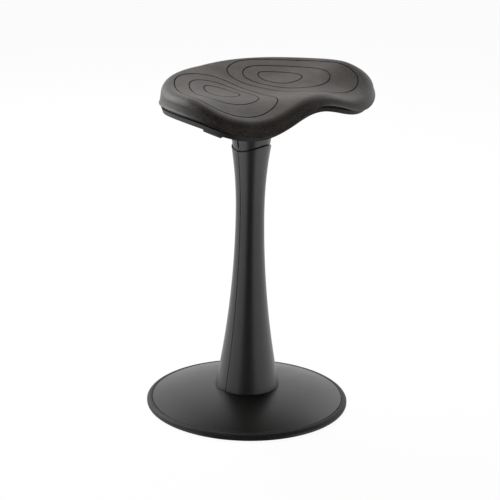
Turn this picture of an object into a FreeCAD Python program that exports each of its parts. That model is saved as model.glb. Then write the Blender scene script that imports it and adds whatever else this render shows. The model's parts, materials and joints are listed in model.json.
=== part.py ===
"""Saddle stool: a seat that lifts and turns on a gas spring, over a round weighted foot.

Millimetres. The origin is on the floor under the column's axis, +Z is up, the sitter faces -Y.
"""
import FreeCAD, Part
import math
import os

V = FreeCAD.Vector

# Round foot
BASE_DIAMETER = 380.0
RIM_WIDTH = 10.0
RIM_HEIGHT = 13.0
RIM_UNDERCUT = 5.0
RIM_BAND = 2.5
RIM_CROWN = 0.8
RIM_LIP = 3.0
RIM_GRIP = 18.0
RIM_LEDGE = 1.2
RIM_LEDGE_WIDTH = 12.0
GROOVE_GAP = 0.8
PLATE_INSET = 14.0
PLATE_THICKNESS = 6.0
PLATE_HOLE_RADIUS = 14.0
DISC_RADIUS = 105.0
DISC_THICKNESS = 10.0
COVER_WALL = 3.0
COVER_TOP = 37.5
COVER_CROWN = 4.0
COVER_HOLE_RADIUS = 47.0
COVER_SCREW_COUNT = 6
COVER_SCREW_CIRCLE = 125.0
COVER_BOSS_RADIUS = 6.0

# Column of two half shells, waisted like a trumpet
FOOT_RADIUS = 60.2
FOOT_MARGIN = 2.5
WAIST_RADIUS = 26.7
WAIST_HEIGHT = 383.0
MOUTH_RADIUS = 36.7
MOUTH_CREST = 4.0
MOUTH_ARCH_RADIUS = 75.0
MOUTH_TILT = 3.6
COLUMN_WALL = 2.0
SEAM_GAP = 0.5
COLUMN_SCREW_COUNT = 4
COLUMN_SCREW_INSET = 10.0
COLUMN_SCREW_CIRCLE = FOOT_RADIUS - COLUMN_SCREW_INSET
COLUMN_BOSS_RADIUS = 5.5
COLUMN_BOSS_HEIGHT = 16.0

# Gas spring and its socket
LIFT_STROKE = 200.0
TUBE_RADIUS = 25.0
TUBE_WALL = 2.0
TUBE_LENGTH = 253.0
TUBE_FLOOR = 3.0
SOCKET_FLANGE_RADIUS = 45.5
SOCKET_FLANGE = 6.0
SOCKET_WALL = 6.0
SOCKET_HEIGHT = 60.0
SOCKET_BOLT_COUNT = 4
SOCKET_BOLT_CIRCLE = 38.0
BUSH_LENGTH = 80.0
BUSH_FLANGE = 3.0
CYLINDER_RADIUS = 14.0
CYLINDER_WALL = 2.0
CYLINDER_LIP = 2.0
CYLINDER_HEAD = 15.0
CYLINDER_TAPER = 1.0
ROD_RADIUS = 5.0
ROD_SHOULDER_RADIUS = 8.5
ROD_SHOULDER = 3.0
ROD_TAIL = 5.0
CLIP_RADIUS = 9.0
CLIP_THICKNESS = 1.6
CLIP_GAP = 1.0
RACE_RADIUS = 11.5
RACE_THICKNESS = 1.5
BALL_COUNT = 10
BALL_RADIUS = 1.5
BUFFER_RADIUS = 11.0
BUFFER_LENGTH = 10.0
BUFFER_GAP = 2.0
SEAL_LENGTH = 4.0
ROD_GUIDE_LENGTH = 10.0
PISTON_LENGTH = 10.0
PISTON_SPARE = 2.0
ROD_HEAD = 2.0
VALVE_RADIUS = 3.0
VALVE_PROUD = 6.0

# Collar and bracket that carry the seat
COLLAR_INSET = 2.6
COLLAR_WALL = 2.0
COLLAR_LENGTH = 75.0
COLLAR_SHOWN = 22.0
COLLAR_FLANGE = 3.0
COLLAR_SLOT_WIDTH = 2.2
COLLAR_SLOT_HEIGHT = 11.0
COLLAR_SLOT_DROP = 6.0
COLLAR_SCREW_COUNT = 4
COLLAR_SCREW_CIRCLE = 27.0
HUB_RADIUS = 19.0
HUB_LENGTH = 40.0
HUB_HEADROOM = 3.0
CYLINDER_PROUD = 11.0
HUB_DISC_RADIUS = 34.0
HUB_DISC = 4.0
CHEEK_HEIGHT = 35.0
CHEEK_THICKNESS = 3.0
CHEEK_INSIDE = 26.0
CHEEK_REAR = 28.0
CHEEK_FRONT = 52.0
BRACKET_LENGTH = 170.0
BRACKET_WIDTH = 120.0
BRACKET_PLATE = 3.0
BRACKET_CORNER = 12.0
SEAT_BOLT_SPACING_X = 130.0
SEAT_BOLT_SPACING_Y = 84.0

# Release lever on the sitter's right
LEVER_WIDTH = 18.0
LEVER_THICKNESS = 5.0
LEVER_PIVOT = 30.0
LEVER_NOSE = 8.0
LEVER_STRAIGHT = 92.0
LEVER_RISE = 13.0
LEVER_SLOPE = 45.0
LEVER_REACH = 148.0
LEVER_TURN = 14.0
LEVER_PIN_RADIUS = 3.0
LEVER_PIN_HEAD_RADIUS = 5.0
LEVER_PIN_HEAD = 2.0
LEVER_EYE_RADIUS = 6.0
LEVER_TIP_GAP = 0.3
HANDLE_GAP = 3.0
HANDLE_WIDTH = 50.0
HANDLE_THICKNESS = 10.0
HANDLE_WALL = 10.0
HANDLE_SKEW = 25.0
HANDLE_ROUND = 3.0

# Seat pad: a saddle with a low middle, a raised front ridge and thigh lobes that fall away
SEAT_HEIGHT = 615.0
PAD_WIDTH = 432.0
PAD_FRONT = -167.5
PAD_REAR = 141.5
PAD_WIDEST = -70.0
FRONT_SQUARENESS = 2.57
REAR_SQUARENESS = 2.06
SIDE_RISE = 29.1
SIDE_RISE_POWER = 1.54
REAR_RISE = 24.6
REAR_RISE_LENGTH = 175.0
REAR_RISE_HALF_WIDTH = 235.0
FRONT_START = -35.0
FRONT_LENGTH = 130.0
RIDGE_RISE = 17.5
RIDGE_HALF_WIDTH = 95.0
THIGH_DROP = 47.0
RIM_EDGE_DROP = 4.7
RIM_REAR_START = -20.0
RIM_REAR_LENGTH = 160.0
RIM_REAR_DROP = 15.0
RIM_FRONT_START = -60.0
RIM_RIDGE_RISE = 2.4
RIM_RIDGE_HALF_WIDTH = 105.0
RIM_THIGH_DROP = 48.5
REAR_ROLL_WIDTH = 16.0
FRONT_ROLL_WIDTH = 24.0
ROLL_START = 20.0
ROLL_LENGTH = 140.0
PAD_ROLL_SHARE = 0.58
PAD_FLARE = 3.0
BELLY_DEPTH = 20.3
BELLY_HALF_LENGTH = 95.0
BELLY_HALF_WIDTH = 75.0

# Contour grooves: plan points as shares of the pad's half width and of its reach behind (+) or in front (-)
# of its widest place, for the outermost and the innermost ring on one side
GROOVE_WIDTH = 1.8
GROOVE_DEPTH = 1.2
GROOVE_COUNT = 3
OUTER_GROOVE = ((0.3, 0.825), (0.119, 0.745), (0.065, 0.341), (0.209, -0.341),
                (0.518, -0.582), (0.836, -0.266), (0.846, 0.254), (0.634, 0.629))
INNER_GROOVE = ((0.319, 0.555), (0.269, 0.51), (0.239, 0.341), (0.269, 0.224),
                (0.348, 0.172), (0.498, 0.213), (0.498, 0.351), (0.428, 0.479))

# Moulded seat pan: a skin with a skirt round it and a plinth for the bracket
PAN_INSET = 1.0
PAN_FRONT_INSET = 7.0
PAN_SKIN = 3.0
PAN_WALL = 7.0
SHADOW_GAP = 4.0
SHADOW_GAP_DEPTH = 4.0
SKIRT_TAPER = 4.0
SKIRT_SIDE_DEPTH = 13.5
SKIRT_LOBE_DEPTH = 11.5
SKIRT_RIDGE_DEPTH = 10.0
SKIRT_RIDGE_HALF_WIDTH = 70.0
PLINTH_DEPTH = 17.6
PLINTH_MARGIN = 3.0
PLINTH_WALL = 5.0
INSERT_RADIUS = 6.0
INSERT_LENGTH = 13.0
INSERT_BOSS_RADIUS = 11.0

# Fasteners and fits
SCREW_RADIUS = 2.0
SCREW_HEAD_RADIUS = 4.2
SCREW_HEAD = 2.4
SCREW_LENGTH = 14.0
BOLT_RADIUS = 4.0
BOLT_HEAD_RADIUS = 6.4
BOLT_HEAD = 5.5
BOLT_END_GAP = 1.0
HOLE_CLEARANCE = 0.3
RUNNING_FIT = 0.06
SEAT_FIT = 0.05
SOFT_CLEARANCE = 0.4

# Levels up the foot
PLATE_BOTTOM = RIM_LIP
PLATE_TOP = PLATE_BOTTOM + PLATE_THICKNESS
LEDGE_TOP = PLATE_TOP + RIM_LEDGE
DISC_TOP = PLATE_TOP + DISC_THICKNESS
FLANGE_TOP = DISC_TOP + SOCKET_FLANGE
BASE_RADIUS = BASE_DIAMETER / 2
PLATE_RADIUS = BASE_RADIUS - PLATE_INSET
GROOVE_RADIUS = BASE_RADIUS - RIM_WIDTH
COVER_RADIUS = GROOVE_RADIUS - GROOVE_GAP / 2
COVER_FLAT_RADIUS = FOOT_RADIUS + FOOT_MARGIN

# Levels up the gas spring
CLIP_BOTTOM = PLATE_TOP + CLIP_GAP
TUBE_FLOOR_BOTTOM = CLIP_BOTTOM + CLIP_THICKNESS + SEAT_FIT
TUBE_FLOOR_TOP = TUBE_FLOOR_BOTTOM + TUBE_FLOOR
TUBE_TOP = PLATE_TOP + TUBE_LENGTH
LOWER_RACE_TOP = TUBE_FLOOR_TOP + RACE_THICKNESS
UPPER_RACE_BOTTOM = LOWER_RACE_TOP + 2 * BALL_RADIUS + SEAT_FIT
SHOULDER_BOTTOM = UPPER_RACE_BOTTOM + RACE_THICKNESS
SHOULDER_TOP = SHOULDER_BOTTOM + ROD_SHOULDER
BUFFER_TOP = SHOULDER_TOP + BUFFER_LENGTH
CYLINDER_BOTTOM = BUFFER_TOP + BUFFER_GAP
SEAL_BOTTOM = CYLINDER_BOTTOM + CYLINDER_LIP
ROD_GUIDE_BOTTOM = SEAL_BOTTOM + SEAL_LENGTH
ROD_GUIDE_TOP = ROD_GUIDE_BOTTOM + ROD_GUIDE_LENGTH
PISTON_BOTTOM = ROD_GUIDE_TOP + LIFT_STROKE + PISTON_SPARE
PISTON_TOP = PISTON_BOTTOM + PISTON_LENGTH

# Levels down from the seat
PAN_TOP = SEAT_HEIGHT - RIM_EDGE_DROP - BELLY_DEPTH - SOFT_CLEARANCE
BRACKET_TOP = PAN_TOP - PLINTH_DEPTH
BRACKET_UNDERSIDE = BRACKET_TOP - BRACKET_PLATE
HUB_DISC_TOP = BRACKET_UNDERSIDE - CHEEK_HEIGHT
HUB_DISC_BOTTOM = HUB_DISC_TOP - HUB_DISC
COLLAR_BOTTOM = HUB_DISC_BOTTOM - COLLAR_LENGTH
MOUTH_HEIGHT = HUB_DISC_BOTTOM - COLLAR_SHOWN
CYLINDER_TOP = HUB_DISC_TOP + CYLINDER_PROUD
HUB_TOP = CYLINDER_TOP - HUB_HEADROOM
HUB_BOTTOM = HUB_TOP - HUB_LENGTH
VALVE_TOP = CYLINDER_TOP + VALVE_PROUD
LEVER_BOTTOM = VALVE_TOP + LEVER_TIP_GAP
LEVER_AXIS = LEVER_BOTTOM + LEVER_THICKNESS / 2
INSERT_TOP = BRACKET_TOP + INSERT_LENGTH


def arc_radius(height, bulge):
    """Radius of the arc that leaves the waist upright and gains bulge over height."""
    return (height ** 2 + bulge ** 2) / (2 * bulge)


FOOT_ARC = arc_radius(WAIST_HEIGHT - COVER_TOP, FOOT_RADIUS - WAIST_RADIUS)
MOUTH_ARC = arc_radius(MOUTH_HEIGHT - WAIST_HEIGHT, MOUTH_RADIUS - WAIST_RADIUS)


def column_radius(z):
    """Outside radius of the column, or of its line carried on above the mouth."""
    arc = FOOT_ARC if z < WAIST_HEIGHT else MOUTH_ARC
    return WAIST_RADIUS + arc - math.sqrt(arc ** 2 - (z - WAIST_HEIGHT) ** 2)


def turned(outline):
    """Solid turned about Z. An entry is a point (r, z), or (via, end) for an arc."""
    here = V(outline[0][0], 0, outline[0][1])
    edges = []
    for step in outline[1:] + outline[:1]:
        if isinstance(step[0], tuple):
            via = V(step[0][0], 0, step[0][1])
            end = V(step[1][0], 0, step[1][1])
            edges.append(Part.Arc(here, via, end).toShape())
        else:
            end = V(step[0], 0, step[1])
            edges.append(Part.LineSegment(here, end).toShape())
        here = end
    return Part.Face(Part.Wire(edges)).revolve(V(0, 0, 0), V(0, 0, 1), 360)


def rod(radius, bottom, top, x=0.0, y=0.0):
    """Upright cylinder between two levels."""
    return Part.makeCylinder(radius, top - bottom, V(x, y, bottom))


def ring(outer, inner, bottom, top):
    """Upright tube between two levels."""
    return rod(outer, bottom, top).cut(rod(inner, bottom, top))


def block(x0, x1, y0, y1, z0, z1):
    """Box between two corners."""
    return Part.makeBox(x1 - x0, y1 - y0, z1 - z0, V(x0, y0, z0))


def rounded_block(length, width, bottom, top, corner):
    """Box about the axis with rounded upright corners."""
    box = block(-length / 2, length / 2, -width / 2, width / 2, bottom, top)
    uprights = [edge for edge in box.Edges if abs(edge.tangentAt(0).z) > 0.5]
    return box.makeFillet(corner, uprights)


def on_circle(count, radius, start=0.0):
    """Places evenly spaced on a circle about the axis."""
    turns = [math.radians(start + 360.0 * n / count) for n in range(count)]
    return [(radius * math.cos(turn), radius * math.sin(turn)) for turn in turns]


def on_corners(spacing_x, spacing_y):
    """The four corners of a rectangle about the axis."""
    return [(sx * spacing_x / 2, sy * spacing_y / 2) for sx in (-1, 1) for sy in (-1, 1)]


def drilled(shape, places, radius, bottom, top):
    """The shape with an upright hole at each place."""
    for x, y in places:
        shape = shape.cut(rod(radius, bottom, top, x, y))
    return shape


def hexagon(radius, bottom, top, x, y):
    """Upright hexagonal prism, as a bolt head."""
    corners = [V(x + dx, y + dy, bottom) for dx, dy in on_circle(6, radius)]
    face = Part.Face(Part.makePolygon(corners + corners[:1]))
    return face.extrude(V(0, 0, top - bottom))


def bolts(places, head_bottom, head_top, end):
    """Hexagon bolts whose shank runs from the head to the level end, up or down."""
    made = []
    for x, y in places:
        head = hexagon(BOLT_HEAD_RADIUS, head_bottom, head_top, x, y)
        shank = rod(BOLT_RADIUS, min(head_bottom, end), max(head_bottom, end), x, y)
        made.append(head.fuse(shank).removeSplitter())
    return Part.makeCompound(made)


def pan_screws(places, head_bottom, length):
    """Round-headed screws driven upwards, with the head below the piece they hold."""
    made = []
    for x, y in places:
        head = rod(SCREW_HEAD_RADIUS, head_bottom, head_bottom + SCREW_HEAD, x, y)
        shank = rod(SCREW_RADIUS, head_bottom, head_bottom + SCREW_HEAD + length, x, y)
        made.append(head.fuse(shank).removeSplitter())
    return Part.makeCompound(made)


def halves(shape):
    """Front and rear half of a shape, parted on the seam plane through the axis."""
    far = 2 * BASE_RADIUS
    top = SEAT_HEIGHT
    front = shape.common(block(-far, far, -far, -SEAM_GAP / 2, 0, top))
    rear = shape.common(block(-far, far, SEAM_GAP / 2, far, 0, top))
    return front, rear


COVER_SCREWS = on_circle(COVER_SCREW_COUNT, COVER_SCREW_CIRCLE)
SOCKET_BOLTS = on_circle(SOCKET_BOLT_COUNT, SOCKET_BOLT_CIRCLE)
COLUMN_SCREWS = on_circle(COLUMN_SCREW_COUNT, COLUMN_SCREW_CIRCLE, 180.0 / COLUMN_SCREW_COUNT)
COLLAR_SCREWS = on_circle(COLLAR_SCREW_COUNT, COLLAR_SCREW_CIRCLE, 180.0 / COLLAR_SCREW_COUNT)
SEAT_BOLTS = on_corners(SEAT_BOLT_SPACING_X, SEAT_BOLT_SPACING_Y)


def rim_ring():
    """Rubber edging that grips the plate, stands on the floor and frames the cover."""
    half = RIM_UNDERCUT * (1 - math.sqrt(0.5))
    groove = GROOVE_RADIUS + GROOVE_GAP / 2
    band_top = RIM_UNDERCUT + RIM_BAND
    crest = GROOVE_RADIUS + RIM_WIDTH / 4
    hold = PLATE_RADIUS + HOLE_CLEARANCE
    return turned([
        (PLATE_RADIUS - RIM_GRIP, 0),
        (BASE_RADIUS - RIM_UNDERCUT, 0),
        ((BASE_RADIUS - half, half), (BASE_RADIUS, RIM_UNDERCUT)),
        (BASE_RADIUS, band_top),
        (((BASE_RADIUS + crest) / 2 + RIM_CROWN, (band_top + RIM_HEIGHT) / 2 + RIM_CROWN), (crest, RIM_HEIGHT)),
        (groove, RIM_HEIGHT - RIM_CROWN),
        (groove, LEDGE_TOP),
        (GROOVE_RADIUS - RIM_LEDGE_WIDTH, LEDGE_TOP),
        (GROOVE_RADIUS - RIM_LEDGE_WIDTH, PLATE_TOP),
        (hold, PLATE_TOP),
        (hold, PLATE_BOTTOM),
        (PLATE_RADIUS - RIM_GRIP, PLATE_BOTTOM),
    ])


def dome(drop):
    """Arc of the cover's top lowered by drop, as (outer point, via, inner point)."""
    outer = (COVER_RADIUS - RIM_CROWN, RIM_HEIGHT - drop)
    inner = (COVER_FLAT_RADIUS, COVER_TOP - drop)
    via = ((outer[0] + inner[0]) / 2, (outer[1] + inner[1]) / 2 + COVER_CROWN)
    return outer, via, inner


def under_cover(drop):
    """Everything above the plate and under the cover's top lowered by drop."""
    outer, via, inner = dome(drop)
    return turned([(0, PLATE_TOP), (outer[0], PLATE_TOP), outer, (via, inner), (0, inner[1])])


def base_cover():
    """Domed moulded cover with a screw boss above each hole of the plate."""
    outer, via, inner = dome(0)
    low_outer, low_via, low_inner = dome(COVER_WALL)
    shell = turned([
        (GROOVE_RADIUS - RIM_LEDGE_WIDTH, LEDGE_TOP),
        (COVER_RADIUS, LEDGE_TOP),
        (COVER_RADIUS, outer[1] - RIM_CROWN),
        outer,
        (via, inner),
        (COVER_HOLE_RADIUS, COVER_TOP),
        (COVER_HOLE_RADIUS, COVER_TOP - COVER_WALL),
        low_inner,
        (low_via, (low_outer[0] - RIM_LEDGE_WIDTH, LEDGE_TOP + RIM_LEDGE)),
    ])
    room = under_cover(COVER_WALL / 2)
    for x, y in COVER_SCREWS:
        boss = rod(COVER_BOSS_RADIUS, PLATE_TOP, COVER_TOP, x, y).common(room)
        shell = shell.fuse(boss)
    pilot_top = PLATE_BOTTOM + SCREW_LENGTH + HOLE_CLEARANCE
    shell = drilled(shell, COVER_SCREWS, SCREW_RADIUS + SEAT_FIT, PLATE_TOP, pilot_top)
    return drilled(shell, COLUMN_SCREWS, SCREW_RADIUS + HOLE_CLEARANCE, COVER_TOP - COVER_WALL, COVER_TOP)


def countersunk(x, y, spare):
    """Countersunk screw driven up through the plate, or its hole where spare is given."""
    head = Part.makeCone(SCREW_HEAD_RADIUS + spare, SCREW_RADIUS + spare, SCREW_HEAD, V(x, y, PLATE_BOTTOM))
    return head.fuse(rod(SCREW_RADIUS + spare, PLATE_BOTTOM, PLATE_BOTTOM + SCREW_LENGTH, x, y))


def ballast_plate():
    """Steel foot plate that gives the stool its weight low down."""
    plate = ring(PLATE_RADIUS, PLATE_HOLE_RADIUS, PLATE_BOTTOM, PLATE_TOP)
    for x, y in COVER_SCREWS:
        plate = plate.cut(countersunk(x, y, HOLE_CLEARANCE))
    return drilled(plate, SOCKET_BOLTS, BOLT_RADIUS + HOLE_CLEARANCE, PLATE_BOTTOM, PLATE_TOP)


def ballast_disc():
    """Second steel disc under the socket."""
    disc = ring(DISC_RADIUS, TUBE_RADIUS + HOLE_CLEARANCE, PLATE_TOP, DISC_TOP)
    return drilled(disc, SOCKET_BOLTS, BOLT_RADIUS + HOLE_CLEARANCE, PLATE_TOP, DISC_TOP)


def spring_socket():
    """Flanged steel socket that holds the gas spring's tube upright."""
    flange = rod(SOCKET_FLANGE_RADIUS, DISC_TOP, FLANGE_TOP)
    wall = rod(TUBE_RADIUS + SOCKET_WALL, DISC_TOP, FLANGE_TOP + SOCKET_HEIGHT)
    body = flange.fuse(wall).removeSplitter()
    body = body.cut(rod(TUBE_RADIUS + SEAT_FIT, DISC_TOP, FLANGE_TOP + SOCKET_HEIGHT))
    return drilled(body, SOCKET_BOLTS, BOLT_RADIUS + HOLE_CLEARANCE, DISC_TOP, FLANGE_TOP)


def trumpet(inset, bottom, top):
    """Filled column form between two levels, inset from the column's outside."""
    joint = max(bottom, min(top, WAIST_HEIGHT))
    outline = [(0, bottom), (column_radius(bottom) - inset, bottom)]
    for low, high in ((bottom, joint), (joint, top)):
        if high > low:
            middle = (low + high) / 2
            via = (column_radius(middle) - inset, middle)
            outline.append((via, (column_radius(high) - inset, high)))
    outline.append((0, top))
    return turned(outline)


def mouth_cutter():
    """Everything above the column's arched and slightly tilted mouth."""
    reach = 2 * MOUTH_RADIUS
    centre = MOUTH_HEIGHT + MOUTH_CREST - MOUTH_ARCH_RADIUS
    barrel = Part.makeCylinder(MOUTH_ARCH_RADIUS, 2 * reach, V(0, -reach, centre), V(0, 1, 0))
    barrel.rotate(V(0, 0, MOUTH_HEIGHT), V(1, 0, 0), -MOUTH_TILT)
    return block(-reach, reach, -reach, reach, centre, MOUTH_HEIGHT + reach).cut(barrel)


def column_shells():
    """Front and rear half of the column, with bosses for the screws in its foot."""
    top = MOUTH_HEIGHT + MOUTH_CREST + MOUTH_RADIUS
    outside = trumpet(0, COVER_TOP, top)
    shell = outside.cut(trumpet(COLUMN_WALL, COVER_TOP, top)).cut(mouth_cutter())
    for x, y in COLUMN_SCREWS:
        boss = rod(COLUMN_BOSS_RADIUS, COVER_TOP, COVER_TOP + COLUMN_BOSS_HEIGHT, x, y)
        shell = shell.fuse(boss.common(trumpet(COLUMN_WALL / 2, COVER_TOP, WAIST_HEIGHT)))
    pilot_top = COVER_TOP - COVER_WALL + SCREW_LENGTH + HOLE_CLEARANCE
    return halves(drilled(shell, COLUMN_SCREWS, SCREW_RADIUS + SEAT_FIT, COVER_TOP, pilot_top))


def standing_tube():
    """Outer tube of the gas spring, with a floor that carries the thrust bearing."""
    inside = TUBE_RADIUS - TUBE_WALL
    wall = ring(TUBE_RADIUS, inside, PLATE_TOP, TUBE_TOP)
    floor = ring(TUBE_RADIUS, ROD_RADIUS + RUNNING_FIT, TUBE_FLOOR_BOTTOM, TUBE_FLOOR_TOP)
    return wall.fuse(floor).removeSplitter()


def guide_bush():
    """Plastic bush in the top of the tube, in which the cylinder slides and turns."""
    body = rod(TUBE_RADIUS - TUBE_WALL - SEAT_FIT, TUBE_TOP - BUSH_LENGTH, TUBE_TOP)
    flange = rod(TUBE_RADIUS, TUBE_TOP, TUBE_TOP + BUSH_FLANGE)
    bore = rod(CYLINDER_RADIUS + RUNNING_FIT, TUBE_TOP - BUSH_LENGTH, TUBE_TOP + BUSH_FLANGE)
    return body.fuse(flange).removeSplitter().cut(bore)


def thrust_balls():
    """Balls of the thrust bearing, standing on the lower race."""
    circle = (RACE_RADIUS + ROD_RADIUS) / 2
    level = LOWER_RACE_TOP + BALL_RADIUS
    balls = [Part.makeSphere(BALL_RADIUS, V(x, y, level)) for x, y in on_circle(BALL_COUNT, circle)]
    return Part.makeCompound(balls)


def race(bottom):
    """Flat washer of the thrust bearing."""
    return ring(RACE_RADIUS, ROD_RADIUS + RUNNING_FIT, bottom, bottom + RACE_THICKNESS)


def piston_rod():
    """Rod with the shoulder that stands on the bearing and a head that keeps the piston."""
    shaft = rod(ROD_RADIUS, CLIP_BOTTOM - ROD_TAIL, PISTON_TOP)
    shoulder = rod(ROD_SHOULDER_RADIUS, SHOULDER_BOTTOM, SHOULDER_TOP)
    head = rod(ROD_SHOULDER_RADIUS, PISTON_TOP, PISTON_TOP + ROD_HEAD)
    return shaft.fuse([shoulder, head]).removeSplitter()


def taper_radius(z):
    """Outside radius of the cylinder's upper end, which narrows towards its top."""
    share = (z - HUB_BOTTOM) / (CYLINDER_TOP - HUB_BOTTOM)
    return CYLINDER_RADIUS - CYLINDER_TAPER * max(0.0, share)


def pressure_cylinder():
    """Gas spring cylinder: lip at the bottom, plugged and tapered at the top."""
    bore = CYLINDER_RADIUS - CYLINDER_WALL
    neck = (bore + ROD_RADIUS) / 2
    valve = VALVE_RADIUS + RUNNING_FIT
    return turned([
        (neck, CYLINDER_BOTTOM),
        (CYLINDER_RADIUS, CYLINDER_BOTTOM),
        (CYLINDER_RADIUS, HUB_BOTTOM),
        (taper_radius(CYLINDER_TOP), CYLINDER_TOP),
        (valve, CYLINDER_TOP),
        (valve, CYLINDER_TOP - CYLINDER_HEAD),
        (bore - CYLINDER_TAPER, CYLINDER_TOP - CYLINDER_HEAD),
        (bore - CYLINDER_TAPER, HUB_BOTTOM),
        (bore, HUB_BOTTOM - CYLINDER_WALL),
        (bore, SEAL_BOTTOM),
        (neck, SEAL_BOTTOM),
    ])


def collar_shells():
    """Front and rear half of the collar that carries the column's line up to the seat."""
    top = HUB_DISC_BOTTOM
    outside = trumpet(COLLAR_INSET, COLLAR_BOTTOM, top)
    hollow = trumpet(COLLAR_INSET + COLLAR_WALL, COLLAR_BOTTOM, top - COLLAR_FLANGE)
    shell = outside.cut(hollow).cut(rod(HUB_RADIUS + HOLE_CLEARANCE, COLLAR_BOTTOM, top))
    slot_top = top - COLLAR_SLOT_DROP
    half_slot = COLLAR_SLOT_WIDTH / 2
    reach = column_radius(top)
    slot = block(-reach, reach, -half_slot, half_slot, slot_top - COLLAR_SLOT_HEIGHT, slot_top)
    shell = drilled(shell.cut(slot), COLLAR_SCREWS, SCREW_RADIUS + HOLE_CLEARANCE, top - COLLAR_FLANGE, top)
    return halves(shell)


def seat_bracket():
    """Welded steel bracket: tapered socket, collar disc, lever cheeks and seat plate."""
    hub = rod(HUB_RADIUS, HUB_BOTTOM, HUB_TOP)
    disc = rod(HUB_DISC_RADIUS, HUB_DISC_BOTTOM, HUB_DISC_TOP)
    plate = rounded_block(BRACKET_LENGTH, BRACKET_WIDTH, BRACKET_UNDERSIDE, BRACKET_TOP, BRACKET_CORNER)
    inside = CHEEK_INSIDE / 2
    cheeks = []
    for y0 in (inside, -inside - CHEEK_THICKNESS):
        cheek = block(-CHEEK_FRONT, CHEEK_REAR, y0, y0 + CHEEK_THICKNESS, HUB_DISC_BOTTOM, BRACKET_TOP)
        cheeks.append(turned_forward(cheek))
    body = plate.fuse([hub, disc] + cheeks).removeSplitter()
    socket = turned([
        (0, HUB_BOTTOM),
        (taper_radius(HUB_BOTTOM) + SEAT_FIT, HUB_BOTTOM),
        (taper_radius(HUB_TOP) + SEAT_FIT, HUB_TOP),
        (0, HUB_TOP),
    ])
    pin_hole = across(LEVER_PIN_RADIUS + SEAT_FIT, CHEEK_INSIDE / 2 + CHEEK_THICKNESS)
    body = body.cut(socket).cut(turned_forward(pin_hole))
    body = drilled(body, COLLAR_SCREWS, SCREW_RADIUS + SEAT_FIT, HUB_DISC_BOTTOM, HUB_DISC_TOP)
    return drilled(body, SEAT_BOLTS, BOLT_RADIUS + HOLE_CLEARANCE, BRACKET_UNDERSIDE, BRACKET_TOP)


def across(radius, half):
    """Cylinder on the lever's axis, before the lever is turned to its place."""
    return Part.makeCylinder(radius, 2 * half, V(-LEVER_PIVOT, -half, LEVER_AXIS), V(0, 1, 0))


def turned_forward(shape):
    """A lever piece swung about the column's axis to where the sitter's hand finds it."""
    return shape.rotated(V(0, 0, 0), V(0, 0, 1), LEVER_TURN)


def lever_pin():
    """Headed pin on which the release lever rocks."""
    half = CHEEK_INSIDE / 2 + CHEEK_THICKNESS
    heads = across(LEVER_PIN_HEAD_RADIUS, half + LEVER_PIN_HEAD).cut(across(LEVER_PIN_HEAD_RADIUS, half))
    return turned_forward(heads.fuse(across(LEVER_PIN_RADIUS, half)).removeSplitter())


LEVER_BEND = LEVER_STRAIGHT + LEVER_RISE / math.tan(math.radians(LEVER_SLOPE))


def bent_bar(tip, width, thickness):
    """Flat bar along -X: level over the valve, a step up beyond the bracket, and level to its tip."""
    run = [(LEVER_NOSE, 0.0), (-LEVER_STRAIGHT, 0.0), (-LEVER_BEND, LEVER_RISE), (-tip, LEVER_RISE)]
    over = [V(x, -width / 2, LEVER_AXIS + rise + thickness / 2) for x, rise in run]
    under = [V(x, -width / 2, LEVER_AXIS + rise - thickness / 2) for x, rise in reversed(run)]
    face = Part.Face(Part.makePolygon(over + under + over[:1]))
    return face.extrude(V(0, width, 0))


def release_lever():
    """Steel lever: its nose stands over the valve, its outer end carries the handle."""
    bar = bent_bar(LEVER_REACH - HANDLE_WALL, LEVER_WIDTH, LEVER_THICKNESS)
    bar = bar.fuse(across(LEVER_EYE_RADIUS, LEVER_WIDTH / 2)).removeSplitter()
    return turned_forward(bar.cut(across(LEVER_PIN_RADIUS + RUNNING_FIT, LEVER_WIDTH / 2)))


def lever_handle():
    """Moulded grip pushed over the lever's end and cut off along the seat's side."""
    far = LEVER_REACH + HANDLE_WIDTH
    half = HANDLE_WIDTH / 2
    low = LEVER_AXIS + LEVER_RISE - HANDLE_THICKNESS / 2
    high = low + HANDLE_THICKNESS
    beyond = block(-2 * far, -LEVER_REACH, -far, far, low, high)
    beyond.rotate(V(-LEVER_REACH, 0, 0), V(0, 0, 1), -HANDLE_SKEW)
    grip = block(-far, -LEVER_BEND - HANDLE_GAP, -half, half, low, high).cut(beyond)
    grip = grip.makeFillet(HANDLE_ROUND, grip.Edges)
    spare = 2 * SEAT_FIT
    tongue = bent_bar(LEVER_REACH - HANDLE_WALL + SEAT_FIT, LEVER_WIDTH + spare, LEVER_THICKNESS + spare)
    return turned_forward(grip.cut(tongue))


def smooth(share):
    """Soft step from 0 to 1."""
    share = max(0.0, min(1.0, share))
    return share * share * (3 - 2 * share)


def hump(distance, half_width):
    """Bell form: 1 in the middle, falling away over half_width."""
    return math.exp(-(distance / half_width) ** 2)


def frontness(y):
    """0 over the buttocks, 1 at the front edge."""
    return smooth((FRONT_START - y) / FRONT_LENGTH)


def top_height(x, y):
    """Height of the pad's top before its edge rolls over."""
    side = SIDE_RISE * (abs(x) / (PAD_WIDTH / 2)) ** SIDE_RISE_POWER
    rear = REAR_RISE * smooth(y / REAR_RISE_LENGTH) * hump(x, REAR_RISE_HALF_WIDTH)
    front = RIDGE_RISE - THIGH_DROP * (1 - hump(x, RIDGE_HALF_WIDTH))
    return SEAT_HEIGHT + side + rear + frontness(y) * front


def rim_bend(y):
    """0 behind the thighs, growing as a parabola to 1 at the front edge."""
    return (max(0.0, RIM_FRONT_START - y) / (RIM_FRONT_START - PAD_FRONT)) ** 2


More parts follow.
